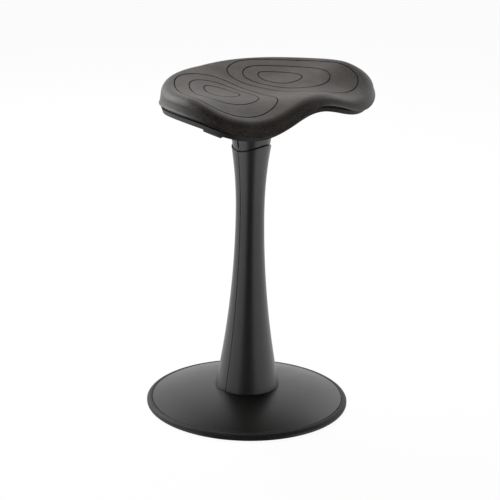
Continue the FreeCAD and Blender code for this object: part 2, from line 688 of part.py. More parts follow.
def rim_level(x, y):
    """Height of the pad's lower edge."""
    rear = RIM_REAR_DROP * smooth((y - RIM_REAR_START) / RIM_REAR_LENGTH)
    front = RIM_RIDGE_RISE - RIM_THIGH_DROP * (1 - hump(x, RIM_RIDGE_HALF_WIDTH))
    return SEAT_HEIGHT - RIM_EDGE_DROP - rear + rim_bend(y) * front


def underside(x, y):
    """Height of the pad's underside, lowest over the bracket."""
    return rim_level(x, y) - BELLY_DEPTH * hump(x, BELLY_HALF_LENGTH) * hump(y, BELLY_HALF_WIDTH)


def outline_scale(y):
    """Reach and squareness of the half of the outline, front or rear, that holds y."""
    if y < PAD_WIDEST:
        return PAD_WIDEST - PAD_FRONT, FRONT_SQUARENESS
    return PAD_REAR - PAD_WIDEST, REAR_SQUARENESS


def half_width(y, inset, nose):
    """Half the pad's width at y, for an outline inset all round and by nose more in front."""
    reach, power = outline_scale(y)
    short = inset + nose if y < PAD_WIDEST else inset
    share = abs(y - PAD_WIDEST) / (reach - short)
    return (PAD_WIDTH / 2 - inset) * (1 - share ** power) ** (1 / power)


def edge_distance(x, y):
    """Distance from a point out to the pad's outline, along the line from its widest place."""
    reach, power = outline_scale(y)
    out = math.hypot(x, y - PAD_WIDEST)
    share = (abs(2 * x / PAD_WIDTH) ** power + (abs(y - PAD_WIDEST) / reach) ** power) ** (1 / power)
    return out * (1 - share) / share if share > 0 else PAD_WIDTH / 2


def roll_width(y):
    """Width of the rolled edge, which is broader round the front."""
    return REAR_ROLL_WIDTH + (FRONT_ROLL_WIDTH - REAR_ROLL_WIDTH) * smooth((ROLL_START - y) / ROLL_LENGTH)


def rolled_top(x, y):
    """Height of the pad's top with its rolled edge."""
    top = top_height(x, y)
    inward = max(0.0, 1 - edge_distance(x, y) / roll_width(y))
    roll = PAD_ROLL_SHARE * (top - rim_level(x, y))
    return top - roll * (1 - math.sqrt(max(0.0, 1 - inward ** 2)))


STRAIGHT_SAG = 0.01
MIDDLE_SHARE = 0.38
ROLL_LIMIT = 0.4


def curve(points):
    """Arc through three points, or a line where they are nearly in line."""
    start, via, end = points
    sag = (via - start).cross(end - start).Length / (end - start).Length
    if sag < STRAIGHT_SAG:
        return Part.LineSegment(start, end).toShape()
    return Part.Arc(start, via, end).toShape()


def section(y, width, flare, top, bottom):
    """Closed cross-section at y of a seat piece with the given top and bottom surfaces."""
    shoulder = width - min(roll_width(y), ROLL_LIMIT * width)
    middle = MIDDLE_SHARE * width
    foot = width + flare

    def over(x):
        return V(x, y, top(x, y))

    def under(x):
        return V(x, y, bottom(x, y))

    corner = shoulder + (width - shoulder) * math.sqrt(0.5)
    half = [
        (over(middle), over((middle + shoulder) / 2), over(shoulder)),
        (over(shoulder), over(corner), over(width)),
    ]
    lower = (under(foot), under((foot + middle) / 2), under(middle))
    edges = [curve((over(-middle), over(0), over(middle)))]
    edges += [curve(points) for points in half]
    edges.append(Part.LineSegment(over(width), under(foot)).toShape())
    edges.append(curve(lower))
    edges.append(curve((under(middle), under(0), under(-middle))))
    mirrored = [[V(-p.x, p.y, p.z) for p in points] for points in (lower, half[1], half[0])]
    edges.append(curve(mirrored[0][::-1]))
    edges.append(Part.LineSegment(under(-foot), over(-width)).toShape())
    edges.append(curve(mirrored[1][::-1]))
    edges.append(curve(mirrored[2][::-1]))
    return Part.Wire(edges)


FRONT_STATIONS = (0.985, 0.95, 0.87, 0.72, 0.48, 0.2)
REAR_STATIONS = (0.1, 0.32, 0.55, 0.74, 0.88, 0.96, 0.99)


def lofted(inset, nose, flare, top, bottom):
    """Seat piece skinned over cross-sections from the front edge to the rear edge."""
    front = PAD_WIDEST - PAD_FRONT - inset - nose
    rear = PAD_REAR - PAD_WIDEST - inset
    places = [PAD_WIDEST - share * front for share in FRONT_STATIONS]
    places += [PAD_WIDEST + share * rear for share in REAR_STATIONS]
    wires = [section(y, half_width(y, inset, nose), flare, top, bottom) for y in places]
    return Part.makeLoft(wires, True, False)


def plan_point(across_share, along_share):
    """Point of the pad's plan, from shares of its half width and of its reach."""
    reach = PAD_REAR - PAD_WIDEST if along_share > 0 else PAD_WIDEST - PAD_FRONT
    return V(across_share * PAD_WIDTH / 2, PAD_WIDEST + along_share * reach, BRACKET_TOP)


def contour(share, shift):
    """Plan inside a groove's edge on the sitter's left, outermost at 0, moved outwards by shift."""
    line = []
    for outer, inner in zip(OUTER_GROOVE, INNER_GROOVE):
        line.append(plan_point(*outer) * (1 - share) + plan_point(*inner) * share)
    moved = []
    for n, point in enumerate(line):
        along = line[(n + 1) % len(line)] - line[n - 1]
        outward = V(along.y, -along.x, 0).normalize()
        moved.append(point + outward * shift)
    spline = Part.BSplineCurve()
    spline.interpolate(Points=moved, PeriodicFlag=True)
    return Part.Face(Part.Wire([spline.toShape()]))


def pad_form():
    """The pad before its grooves are cut."""
    return lofted(0.0, 0.0, PAD_FLARE, rolled_top, underside)


def seat_pad(pad):
    """Moulded foam pad with nested contour grooves on either side."""
    lowered = pad.translated(V(0, 0, -GROOVE_DEPTH))
    bands = []
    for n in range(GROOVE_COUNT):
        share = n / max(1, GROOVE_COUNT - 1)
        band = contour(share, GROOVE_WIDTH / 2).cut(contour(share, -GROOVE_WIDTH / 2))
        left = band.extrude(V(0, 0, SEAT_HEIGHT))
        bands += [left, left.mirror(V(0, 0, 0), V(1, 0, 0))]
    return pad.cut(Part.makeCompound(bands).cut(lowered))


def inside_pad(x, y):
    """Level inside the pad, from which the pan is cut back to the pad's underside."""
    return underside(x, y) + PAN_SKIN


def pan_top(x, y):
    """Top of the pan, just under the pad."""
    return underside(x, y) - SOFT_CLEARANCE


def skin_middle(x, y):
    """Half way through the pan's skin, where the plinth ends."""
    return pan_top(x, y) - PAN_SKIN / 2


def skin_bottom(x, y):
    """Underside of the pan's skin."""
    return pan_top(x, y) - PAN_SKIN


def skirt_bottom(x, y):
    """Lower edge of the pan's skirt, which is shallow under the thigh lobes' front."""
    front = SKIRT_LOBE_DEPTH + (SKIRT_RIDGE_DEPTH - SKIRT_LOBE_DEPTH) * hump(x, SKIRT_RIDGE_HALF_WIDTH)
    return pan_top(x, y) - SKIRT_SIDE_DEPTH + rim_bend(y) ** 2 * (SKIRT_SIDE_DEPTH - front)


def gap_floor(x, y):
    """Floor of the shadow gap that runs round between the pad's lip and the skirt."""
    return pan_top(x, y) - SHADOW_GAP


def skirt_middle(x, y):
    """Half way between the shadow gap and the skirt's lower edge."""
    return (gap_floor(x, y) + skirt_bottom(x, y)) / 2


def below_skirt(x, y):
    """Level clear below the skirt."""
    return skirt_bottom(x, y) - SKIRT_SIDE_DEPTH


def plinth():
    """Hollow plinth for the bracket, with a boss round each threaded insert."""
    length = BRACKET_LENGTH + 2 * PLINTH_MARGIN
    width = BRACKET_WIDTH + 2 * PLINTH_MARGIN
    wall = 2 * PLINTH_WALL
    solid = rounded_block(length, width, BRACKET_TOP, PAN_TOP + BELLY_DEPTH, BRACKET_CORNER)
    bosses = [rod(INSERT_BOSS_RADIUS, BRACKET_TOP, PAN_TOP + BELLY_DEPTH, x, y) for x, y in SEAT_BOLTS]
    inside = rounded_block(length - wall, width - wall, BRACKET_TOP, PAN_TOP + BELLY_DEPTH,
                           BRACKET_CORNER - PLINTH_WALL)
    return solid.cut(inside).fuse(bosses).removeSplitter()


def seat_pan(pad):
    """Moulded pan that fits under the pad, hollow below, with the plinth that the bracket is bolted to."""
    hollow = lofted(PAN_INSET + PAN_WALL, PAN_FRONT_INSET, 0.0, skin_bottom, below_skirt)
    skirt = lofted(PAN_INSET, PAN_FRONT_INSET, -SKIRT_TAPER, gap_floor, skirt_bottom)
    neck = lofted(PAN_INSET + SHADOW_GAP_DEPTH, PAN_FRONT_INSET, 0.0, inside_pad, skirt_middle)
    shell = skirt.fuse(neck).cut(hollow).cut(pad.translated(V(0, 0, -SOFT_CLEARANCE)))
    room = lofted(PAN_INSET + PAN_WALL, PAN_FRONT_INSET, 0.0, skin_middle, below_skirt)
    body = shell.fuse(plinth().common(room)).removeSplitter()
    return drilled(body, SEAT_BOLTS, INSERT_RADIUS + SEAT_FIT, BRACKET_TOP, INSERT_TOP + BOLT_END_GAP)


def threaded_inserts():
    """Brass inserts in the plinth that take the seat bolts."""
    made = []
    for x, y in SEAT_BOLTS:
        body = rod(INSERT_RADIUS, BRACKET_TOP, INSERT_TOP, x, y)
        made.append(body.cut(rod(BOLT_RADIUS + SEAT_FIT, BRACKET_TOP, INSERT_TOP, x, y)))
    return Part.makeCompound(made)


def build():
    """Every piece of the stool by its node name."""
    column_front, column_rear = column_shells()
    collar_front, collar_rear = collar_shells()
    pad = pad_form()
    inner = CYLINDER_RADIUS - CYLINDER_WALL
    return {
        "rim_ring": rim_ring(),
        "ballast_plate": ballast_plate(),
        "ballast_disc": ballast_disc(),
        "base_cover": base_cover(),
        "cover_screws": Part.makeCompound([countersunk(x, y, 0) for x, y in COVER_SCREWS]),
        "spring_socket": spring_socket(),
        "socket_bolts": bolts(SOCKET_BOLTS, FLANGE_TOP, FLANGE_TOP + BOLT_HEAD, PLATE_BOTTOM + BOLT_END_GAP),
        "column_front_shell": column_front,
        "column_rear_shell": column_rear,
        "column_screws": pan_screws(COLUMN_SCREWS, COVER_TOP - COVER_WALL - SCREW_HEAD, SCREW_LENGTH),
        "standing_tube": standing_tube(),
        "guide_bush": guide_bush(),
        "lower_race": race(TUBE_FLOOR_TOP),
        "thrust_balls": thrust_balls(),
        "upper_race": race(UPPER_RACE_BOTTOM),
        "piston_rod": piston_rod(),
        "rod_clip": ring(CLIP_RADIUS, ROD_RADIUS + SEAT_FIT, CLIP_BOTTOM, CLIP_BOTTOM + CLIP_THICKNESS),
        "buffer_ring": ring(BUFFER_RADIUS, ROD_RADIUS + SEAT_FIT, SHOULDER_TOP, BUFFER_TOP),
        "piston": ring(inner - RUNNING_FIT, ROD_RADIUS + SEAT_FIT, PISTON_BOTTOM, PISTON_TOP),
        "pressure_cylinder": pressure_cylinder(),
        "rod_seal": ring(inner - SEAT_FIT, ROD_RADIUS + RUNNING_FIT, SEAL_BOTTOM, ROD_GUIDE_BOTTOM),
        "rod_guide": ring(inner - SEAT_FIT, ROD_RADIUS + RUNNING_FIT, ROD_GUIDE_BOTTOM, ROD_GUIDE_TOP),
        "valve_pin": rod(VALVE_RADIUS, CYLINDER_TOP - CYLINDER_HEAD, VALVE_TOP),
        "collar_front_shell": collar_front,
        "collar_rear_shell": collar_rear,
        "collar_screws": pan_screws(COLLAR_SCREWS, HUB_DISC_BOTTOM - COLLAR_FLANGE - SCREW_HEAD,
                                    COLLAR_FLANGE + HUB_DISC),
        "seat_bracket": seat_bracket(),
        "seat_bolts": bolts(SEAT_BOLTS, BRACKET_UNDERSIDE - BOLT_HEAD, BRACKET_UNDERSIDE, INSERT_TOP),
        "threaded_inserts": threaded_inserts(),
        "lever_pin": lever_pin(),
        "release_lever": release_lever(),
        "lever_handle": lever_handle(),
        "seat_pan": seat_pan(pad),
        "seat_pad": seat_pad(pad),
    }


os.makedirs("parts", exist_ok=True)
for name, shape in build().items():
    shape.exportStep("parts/" + name + ".step")
    print(name, len(shape.Solids), "solids", round(shape.Volume / 1000, 2), "cm3", shape.isValid())
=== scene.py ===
"""Saddle stool: finished meshes, materials and studio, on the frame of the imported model.

Sizes are in millimetres and angles in degrees, and a mesh is made in metres. +Z is up, the sitter faces -Y.
"""

import json
import logging
import math
from abc import ABC, abstractmethod
from dataclasses import dataclass, field
from enum import Enum
from typing import Any, Optional, Sequence

import bmesh
import bpy
import numpy as np
from mathutils import Matrix, Vector


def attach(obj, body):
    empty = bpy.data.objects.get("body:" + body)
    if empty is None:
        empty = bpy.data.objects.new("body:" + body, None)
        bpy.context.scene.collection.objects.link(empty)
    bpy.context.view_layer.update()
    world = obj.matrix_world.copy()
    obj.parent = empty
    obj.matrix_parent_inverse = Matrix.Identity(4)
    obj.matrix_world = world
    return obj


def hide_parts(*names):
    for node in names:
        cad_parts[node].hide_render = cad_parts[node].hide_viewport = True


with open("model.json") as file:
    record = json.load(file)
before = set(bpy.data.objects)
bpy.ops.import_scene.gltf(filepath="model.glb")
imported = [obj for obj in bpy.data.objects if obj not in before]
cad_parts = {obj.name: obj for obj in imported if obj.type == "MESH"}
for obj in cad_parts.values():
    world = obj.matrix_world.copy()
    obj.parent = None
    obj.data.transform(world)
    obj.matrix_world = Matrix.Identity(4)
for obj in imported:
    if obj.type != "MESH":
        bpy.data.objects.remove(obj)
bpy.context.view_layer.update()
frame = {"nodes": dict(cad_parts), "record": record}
LOG = logging.getLogger("saddle_stool")
MM = 0.001
HALF_TURN = math.pi
FULL_TURN = 2 * math.pi
WHITE = (1.0, 1.0, 1.0, 1.0)
# Joins points that fall together, in metres, and keeps a divisor off zero
TINY = 1e-6
# Faces across a rounded edge
EDGE_SEGMENTS = 3
# Crease angle that leaves no edge sharp in the shading
NO_CREASE = 180.0

Point = tuple[float, float]
Place = tuple[float, float, float]
Mesh = bmesh.types.BMesh
Ring = list[bmesh.types.BMVert]
Tree = bpy.types.NodeTree
Socket = bpy.types.NodeSocket
Material = bpy.types.Material
Piece = bpy.types.Object


class Body(Enum):
    """Bodies of the frame that pieces ride on."""

    BASE = "base"
    SEAT = "seat"
    LEVER = "lever"


class Half(Enum):
    """Which side of the seam a shell lies on, as the sign of its Y."""

    FRONT = -1
    REAR = 1


def linear(colour: str) -> tuple[float, float, float, float]:
    """Turn an sRGB hex colour into the linear colour that shaders take.

    Args:
        colour: six hex digits after a hash sign.

    Returns:
        Red, green, blue and alpha, each from 0 to 1.
    """
    parts = [int(colour[at:at + 2], 16) / 255 for at in (1, 3, 5)]
    red, green, blue = [p / 12.92 if p <= 0.04045 else ((p + 0.055) / 1.055) ** 2.4 for p in parts]
    return red, green, blue, 1.0


def socket(sockets: Any, name: str) -> Socket:
    """Find a socket by its identifier, or else by its name.

    Args:
        sockets: inputs or outputs of a node.
        name: identifier or name.

    Returns:
        The socket.
    """
    for each in sockets:
        if each.identifier == name:
            return each
    return sockets[name]


def add_node(tree: Tree, kind: str, values: Optional[dict[str, Any]] = None,
             links: Optional[dict[str, Socket]] = None, **settings: Any) -> bpy.types.Node:
    """Add a node with its settings, its socket values and its links.

    Args:
        tree: node tree that gets the node.
        kind: Blender's identifier of the node.
        values: value of each input socket that is set by hand.
        links: output socket that feeds each linked input.
        settings: properties of the node itself.

    Returns:
        The new node.
    """
    made = tree.nodes.new(kind)
    for name, value in settings.items():
        setattr(made, name, value)
    for name, value in (values or {}).items():
        socket(made.inputs, name).default_value = value
    for name, source in (links or {}).items():
        tree.links.new(source, socket(made.inputs, name))
    return made


def per_metre(size_mm: float) -> float:
    """Scale of a texture whose features are size_mm apart, on coordinates in metres."""
    return 1.0 / (size_mm * MM)


def blank_material(name: str) -> tuple[Material, Tree]:
    """Make a material with an empty node tree.

    Args:
        name: name of the material.

    Returns:
        The material and its tree.
    """
    material = bpy.data.materials.new(name)
    material.use_nodes = True
    material.node_tree.nodes.clear()
    return material, material.node_tree


@dataclass(frozen=True)
class FoamSkin:
    """Integral-skin polyurethane foam: a matte hide with a fine leather grain pressed in by the mould, and
    painted shade darkening its grooves.
    """

    name: str = "polyurethane_skin"
    colour: str = "#292522"
    pale: str = "#47403b"
    pale_range: Point = (0.55, 0.95)
    # Painted shade: the near-black colour that the grooves are darkened to
    groove_shade_colour: str = "#060505"
    groove_dulling: float = 0.4
    roughness: float = 0.46
    rough_spread: float = 0.05
    specular: float = 0.45
    ior: float = 1.5
    grain_mm: float = 1.6
    grain_depth_mm: float = 0.10
    grain_strength: float = 0.5
    fleck_mm: float = 3.2
    fleck_detail: float = 2.0
    cloud_mm: float = 24.0
    cloud_detail: float = 4.0
    cloud_share: float = 0.5

    def make(self) -> Material:
        """Build the material; the grain is drawn coarser than life, so that it shows from a step away.

        Returns:
            The material.
        """
        material, tree = blank_material(self.name)
        place = add_node(tree, "ShaderNodeTexCoord").outputs["Object"]
        groove = add_node(tree, "ShaderNodeAttribute", attribute_name="groove").outputs["Fac"]
        cloud, fleck = [
            add_node(tree, "ShaderNodeTexNoise", {"Scale": per_metre(size), "Detail": detail},
                     {"Vector": place}).outputs["Fac"]
            for size, detail in ((self.cloud_mm, self.cloud_detail), (self.fleck_mm, self.fleck_detail))]
        grain = add_node(tree, "ShaderNodeTexVoronoi", {"Scale": per_metre(self.grain_mm)},
                         {"Vector": place}, feature="SMOOTH_F1").outputs["Distance"]
        tone = add_node(tree, "ShaderNodeMath", {"Value_001": self.cloud_share},
                        {"Value": cloud, "Value_002": fleck}, operation="MULTIPLY_ADD").outputs["Value"]
        low, high = self.pale_range
        share = add_node(tree, "ShaderNodeMapRange", {"From Min": low, "From Max": high}, {"Value": tone})
        skin = add_node(tree, "ShaderNodeMix", {"A_Color": linear(self.colour), "B_Color": linear(self.pale)},
                        {"Factor_Float": share.outputs["Result"]}, data_type="RGBA")
        # Painted shade: the groove attribute darkens the skin's colour in the grooves
        hide = add_node(tree, "ShaderNodeMix", {"B_Color": linear(self.groove_shade_colour)},
                        {"Factor_Float": groove, "A_Color": socket(skin.outputs, "Result_Color")},
                        data_type="RGBA")
        bump = add_node(tree, "ShaderNodeBump", {"Strength": self.grain_strength,
                                                 "Distance": self.grain_depth_mm * MM}, {"Height": grain})
        grained = add_node(tree, "ShaderNodeMapRange", {"To Min": self.roughness - self.rough_spread,
                                                        "To Max": self.roughness + self.rough_spread},
                           {"Value": fleck})
        rough = add_node(tree, "ShaderNodeMath", {"Value_001": self.groove_dulling},
                         {"Value": groove, "Value_002": grained.outputs["Result"]}, operation="MULTIPLY_ADD")
        shader = add_node(tree, "ShaderNodeBsdfPrincipled",
                          {"IOR": self.ior, "Specular IOR Level": self.specular},
                          {"Base Color": socket(hide.outputs, "Result_Color"),
                           "Roughness": rough.outputs["Value"], "Normal": bump.outputs["Normal"]})
        add_node(tree, "ShaderNodeOutputMaterial", {}, {"Surface": shader.outputs["BSDF"]})
        return material


@dataclass(frozen=True)
class Finish:
    """Surface whose colour and gloss stray a little, both by one pattern."""

    name: str
    colour: str
    tint: str
    roughness: float

    def dress(self, tree: Tree, pattern: Socket, spread: float, values: dict[str, float],
              links: dict[str, Socket]) -> None:
        """End a node tree with the shader.

        Args:
            tree: node tree of the material.
            pattern: socket with the pattern, from 0 for the colour to 1 for the tint.
            spread: how far the roughness strays either way.
            values: further values of the shader.
            links: further links of the shader.
        """
        skin = add_node(tree, "ShaderNodeMix", {"A_Color": linear(self.colour), "B_Color": linear(self.tint)},
                        {"Factor_Float": pattern}, data_type="RGBA")
        rough = add_node(tree, "ShaderNodeMapRange", {"To Min": self.roughness - spread,
                                                      "To Max": self.roughness + spread}, {"Value": pattern})
        shader = add_node(tree, "ShaderNodeBsdfPrincipled", values,
                          {"Base Color": socket(skin.outputs, "Result_Color"),
                           "Roughness": rough.outputs["Result"], **links})
        add_node(tree, "ShaderNodeOutputMaterial", {}, {"Surface": shader.outputs["BSDF"]})


@dataclass(frozen=True)
class GrainedFinish(Finish):
    """Moulded plastic, rubber or powder coat: one colour, broken up by the fine grain of its surface."""

    specular: float
    grain_mm: float
    grain_depth_mm: float
    ior: float = 1.49
    rough_spread: float = 0.04
    grain_strength: float = 0.4
    grain_detail: float = 2.0
    grains_in_flow: float = 40.0
    flow_detail: float = 3.0

    def make(self) -> Material:
        """Build the material; grain under a millimetre is drawn a little coarser, so that it shows.

        Returns:
            The material.
        """
        material, tree = blank_material(self.name)
        place = add_node(tree, "ShaderNodeTexCoord").outputs["Object"]
        flow_mm = self.grains_in_flow * self.grain_mm
        grain, flow = [
            add_node(tree, "ShaderNodeTexNoise", {"Scale": per_metre(size), "Detail": detail},
                     {"Vector": place}).outputs["Fac"]
            for size, detail in ((self.grain_mm, self.grain_detail), (flow_mm, self.flow_detail))]
        bump = add_node(tree, "ShaderNodeBump", {"Strength": self.grain_strength,
                                                 "Distance": self.grain_depth_mm * MM}, {"Height": grain})
        self.dress(tree, flow, self.rough_spread, {"IOR": self.ior, "Specular IOR Level": self.specular},
                   {"Normal": bump.outputs["Normal"]})
        return material


@dataclass(frozen=True)
class WorkedMetal(Finish):
    """Plated, ground or turned metal: tool marks run round the upright axis and streak its gloss."""

    mark_mm: float
    mark_detail: float = 3.0
    mark_stretch: Place = (0.1, 0.1, 1.0)
    rough_spread: float = 0.08

    def make(self) -> Material:
        """Build the material, with the marks stretched round the axis by a Mapping node.

        Returns:
            The material.
        """
        material, tree = blank_material(self.name)
        place = add_node(tree, "ShaderNodeTexCoord").outputs["Object"]
        drawn = add_node(tree, "ShaderNodeMapping", {"Scale": self.mark_stretch}, {"Vector": place})
        marks = add_node(tree, "ShaderNodeTexNoise",
                         {"Scale": per_metre(self.mark_mm), "Detail": self.mark_detail},
                         {"Vector": drawn.outputs["Vector"]}).outputs["Fac"]
        self.dress(tree, marks, self.rough_spread, {"Metallic": 1.0}, {})
        return material


@dataclass
class Finishes:
    """Every finish by the record's slot; each becomes a material when it is first asked for."""

    kinds: dict[str, Any] = field(default_factory=lambda: {
        "pad_skin": FoamSkin(),
        # Glass-filled nylon with a spark-eroded texture: near black, and dull even at its edges
        "pan_plastic": GrainedFinish("glass_filled_nylon", "#161515", "#1e1d1d", 0.50, 0.45, 0.9, 0.05),
        # Moulded polypropylene: black with a satin gloss that lights up where it turns away
        "column_plastic": GrainedFinish("satin_polypropylene", "#141415", "#1a1a1c", 0.32, 1.0, 0.7, 0.02),
        # The same plastic in a coarser mould: a little greyer and duller than the column below it
        "collar_plastic": GrainedFinish("satin_collar_polypropylene", "#19191a", "#1f1f21", 0.36, 1.0, 0.7,
                                        0.02),
        # Moulded ABS with a fine satin texture: broad soft reflections of the room
        "cover_plastic": GrainedFinish("satin_abs", "#121110", "#181716", 0.34, 0.6, 0.7, 0.02),
        # Moulded nylon of the grip: plain black with a slight gloss
        "handle_plastic": GrainedFinish("moulded_nylon", "#1b1b1b", "#242424", 0.45, 0.40, 0.8, 0.03),
        # Thermoplastic rubber edging: matte black that shows no clear reflection
        "edge_rubber": GrainedFinish("thermoplastic_rubber", "#1b1a19", "#232221", 0.58, 0.5, 1.0, 0.05),
        # Nitrile rubber of the buffer and seal: matte black
        "inner_rubber": GrainedFinish("nitrile_rubber", "#121212", "#1a1a1a", 0.70, 0.30, 1.0, 0.05),
        # Powder-coated steel: black with the faint ripple that the baked powder leaves
        "painted_steel": GrainedFinish("black_powder_coat", "#19191a", "#212122", 0.38, 0.50, 2.2, 0.06, 1.5),
        # Zinc-plated steel: pale grey, faintly dulled in streaks
        "zinc_steel": WorkedMetal("zinc_plated_steel", "#b9bab8", "#9c9d9b", 0.35, 0.8),
        # Ground steel: bright with fine rings left by the wheel
        "bright_steel": WorkedMetal("ground_steel", "#c9c9c9", "#b0b0b0", 0.22, 0.4),
        # Turned brass: yellow with fine rings left by the tool
        "insert_brass": WorkedMetal("turned_brass", "#d8b56a", "#b9924a", 0.30, 0.4),
    })
    made: dict[str, Material] = field(default_factory=dict)

    def of(self, slot: str) -> Material:
        """Material of a slot of the record.

        Args:
            slot: name of the slot.

        Returns:
            The material, the same one each time.
        """
        if slot not in self.made:
            self.made[slot] = self.kinds[slot].make()
        return self.made[slot]

    def dress_node(self, node: str, slot: str) -> None:
        """Give a CAD node its material.

        Args:
            node: name of the node.
            slot: slot of the record that it takes its finish from.
        """
        data = frame["nodes"][node].data
        data.materials.clear()
        data.materials.append(self.of(slot))


def link_mesh(bm: Mesh, name: str, material: Material) -> Piece:
    """Turn a mesh into an object of the scene.

    Args:
        bm: mesh in metres, freed afterwards.
        name: name of the object.
        material: its material.

    Returns:
        The new object.
    """
    mesh = bpy.data.meshes.new(name)
    bm.to_mesh(mesh)
    bm.free()
    mesh.materials.append(material)
    made = bpy.data.objects.new(name, mesh)
    bpy.context.scene.collection.objects.link(made)
    return made


@dataclass
class SubAssembly:
    """Group of pieces that takes its materials from the shared finishes."""

    finishes: Finishes

    def place(self, bm: Mesh, name: str, body: Body, slot: str, crease: float = 35.0) -> Piece:
        """Turn a mesh into a dressed piece that rides on a body.

        Args:
            bm: mesh in metres, freed afterwards.
            name: name of the piece.
            body: body that carries it.
            slot: slot of the record that its finish belongs to.
            crease: edges that turn by more than this stay sharp in the shading.

        Returns:
            The new piece.
        """
        limit = math.radians(crease)
        for face in bm.faces:
            face.smooth = True
        for edge in bm.edges:
            edge.smooth = len(edge.link_faces) != 2 or edge.calc_face_angle() < limit
        piece = link_mesh(bm, name, self.finishes.of(slot))
        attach(piece, body.value)
        LOG.info("%s: %d faces on %s", name, len(piece.data.polygons), body.value)
        return piece


def arc(start: Point, via: Point, end: Point, count: int) -> list[Point]:
    """Points along the circle through three points.

    Args:
        start: first point.
        via: point that the arc passes.
        end: last point.
        count: number of steps from start to end.

    Returns:
        The points after start, up to and including end.
    """
    a, b, c = (complex(*p) for p in (start, via, end))
    w = (c - a) / (b - a)
    centre = a + (b - a) * (w - abs(w) ** 2) / (2j * w.imag)
    radius = abs(a - centre)
    angles = np.unwrap([math.atan2((p - centre).imag, (p - centre).real) for p in (a, b, c)])
    turns = [angles[0] + (angles[2] - angles[0]) * n / count for n in range(1, count + 1)]
    return [(centre.real + radius * math.cos(t), centre.imag + radius * math.sin(t)) for t in turns]


def profile_mesh(profile: Sequence[Point], closed: bool) -> tuple[Mesh, list[Any]]:
    """Start a mesh from a chain of edges in the plane y = 0.

    Args:
        profile: radius and height of each point.
        closed: whether the last point joins the first.

    Returns:
        The mesh and the geometry to spin.
    """
    bm = bmesh.new()
    verts = [bm.verts.new((r * MM, 0.0, z * MM)) for r, z in profile]
    pairs = list(zip(verts, verts[1:]))
    if closed:
        pairs.append((verts[-1], verts[0]))
    edges = [bm.edges.new(pair) for pair in pairs]
    return bm, verts + edges


def turned(profile: Sequence[Point], steps: int) -> Mesh:
    """Spin a closed profile once round the upright axis.

    Args:
        profile: radius and height of each corner.
        steps: number of steps in the full turn.

    Returns:
        The closed mesh, with its faces outwards.
    """
    bm, geometry = profile_mesh(profile, True)
    bmesh.ops.spin(bm, geom=geometry, cent=(0, 0, 0), axis=(0, 0, 1), angle=FULL_TURN, steps=steps,
                   use_merge=True, use_duplicate=False)
    bmesh.ops.remove_doubles(bm, verts=bm.verts[:], dist=TINY)
    bmesh.ops.recalc_face_normals(bm, faces=bm.faces[:])
    return bm


def soften(bm: Mesh, width: float, angle: float = 40.0, segments: int = EDGE_SEGMENTS) -> None:
    """Round the sharp edges of a mesh.

    Args:
        bm: mesh to change.
        width: width of the rounding.
        angle: edges that turn by more than this are rounded.
        segments: faces across the rounding.
    """
    limit = math.radians(angle)
    sharp = [e for e in bm.edges if len(e.link_faces) == 2 and e.calc_face_angle() > limit]
    bmesh.ops.bevel(bm, geom=sharp, offset=width * MM, affect="EDGES", segments=segments, profile=0.5,
                    material=-1, clamp_overlap=True)


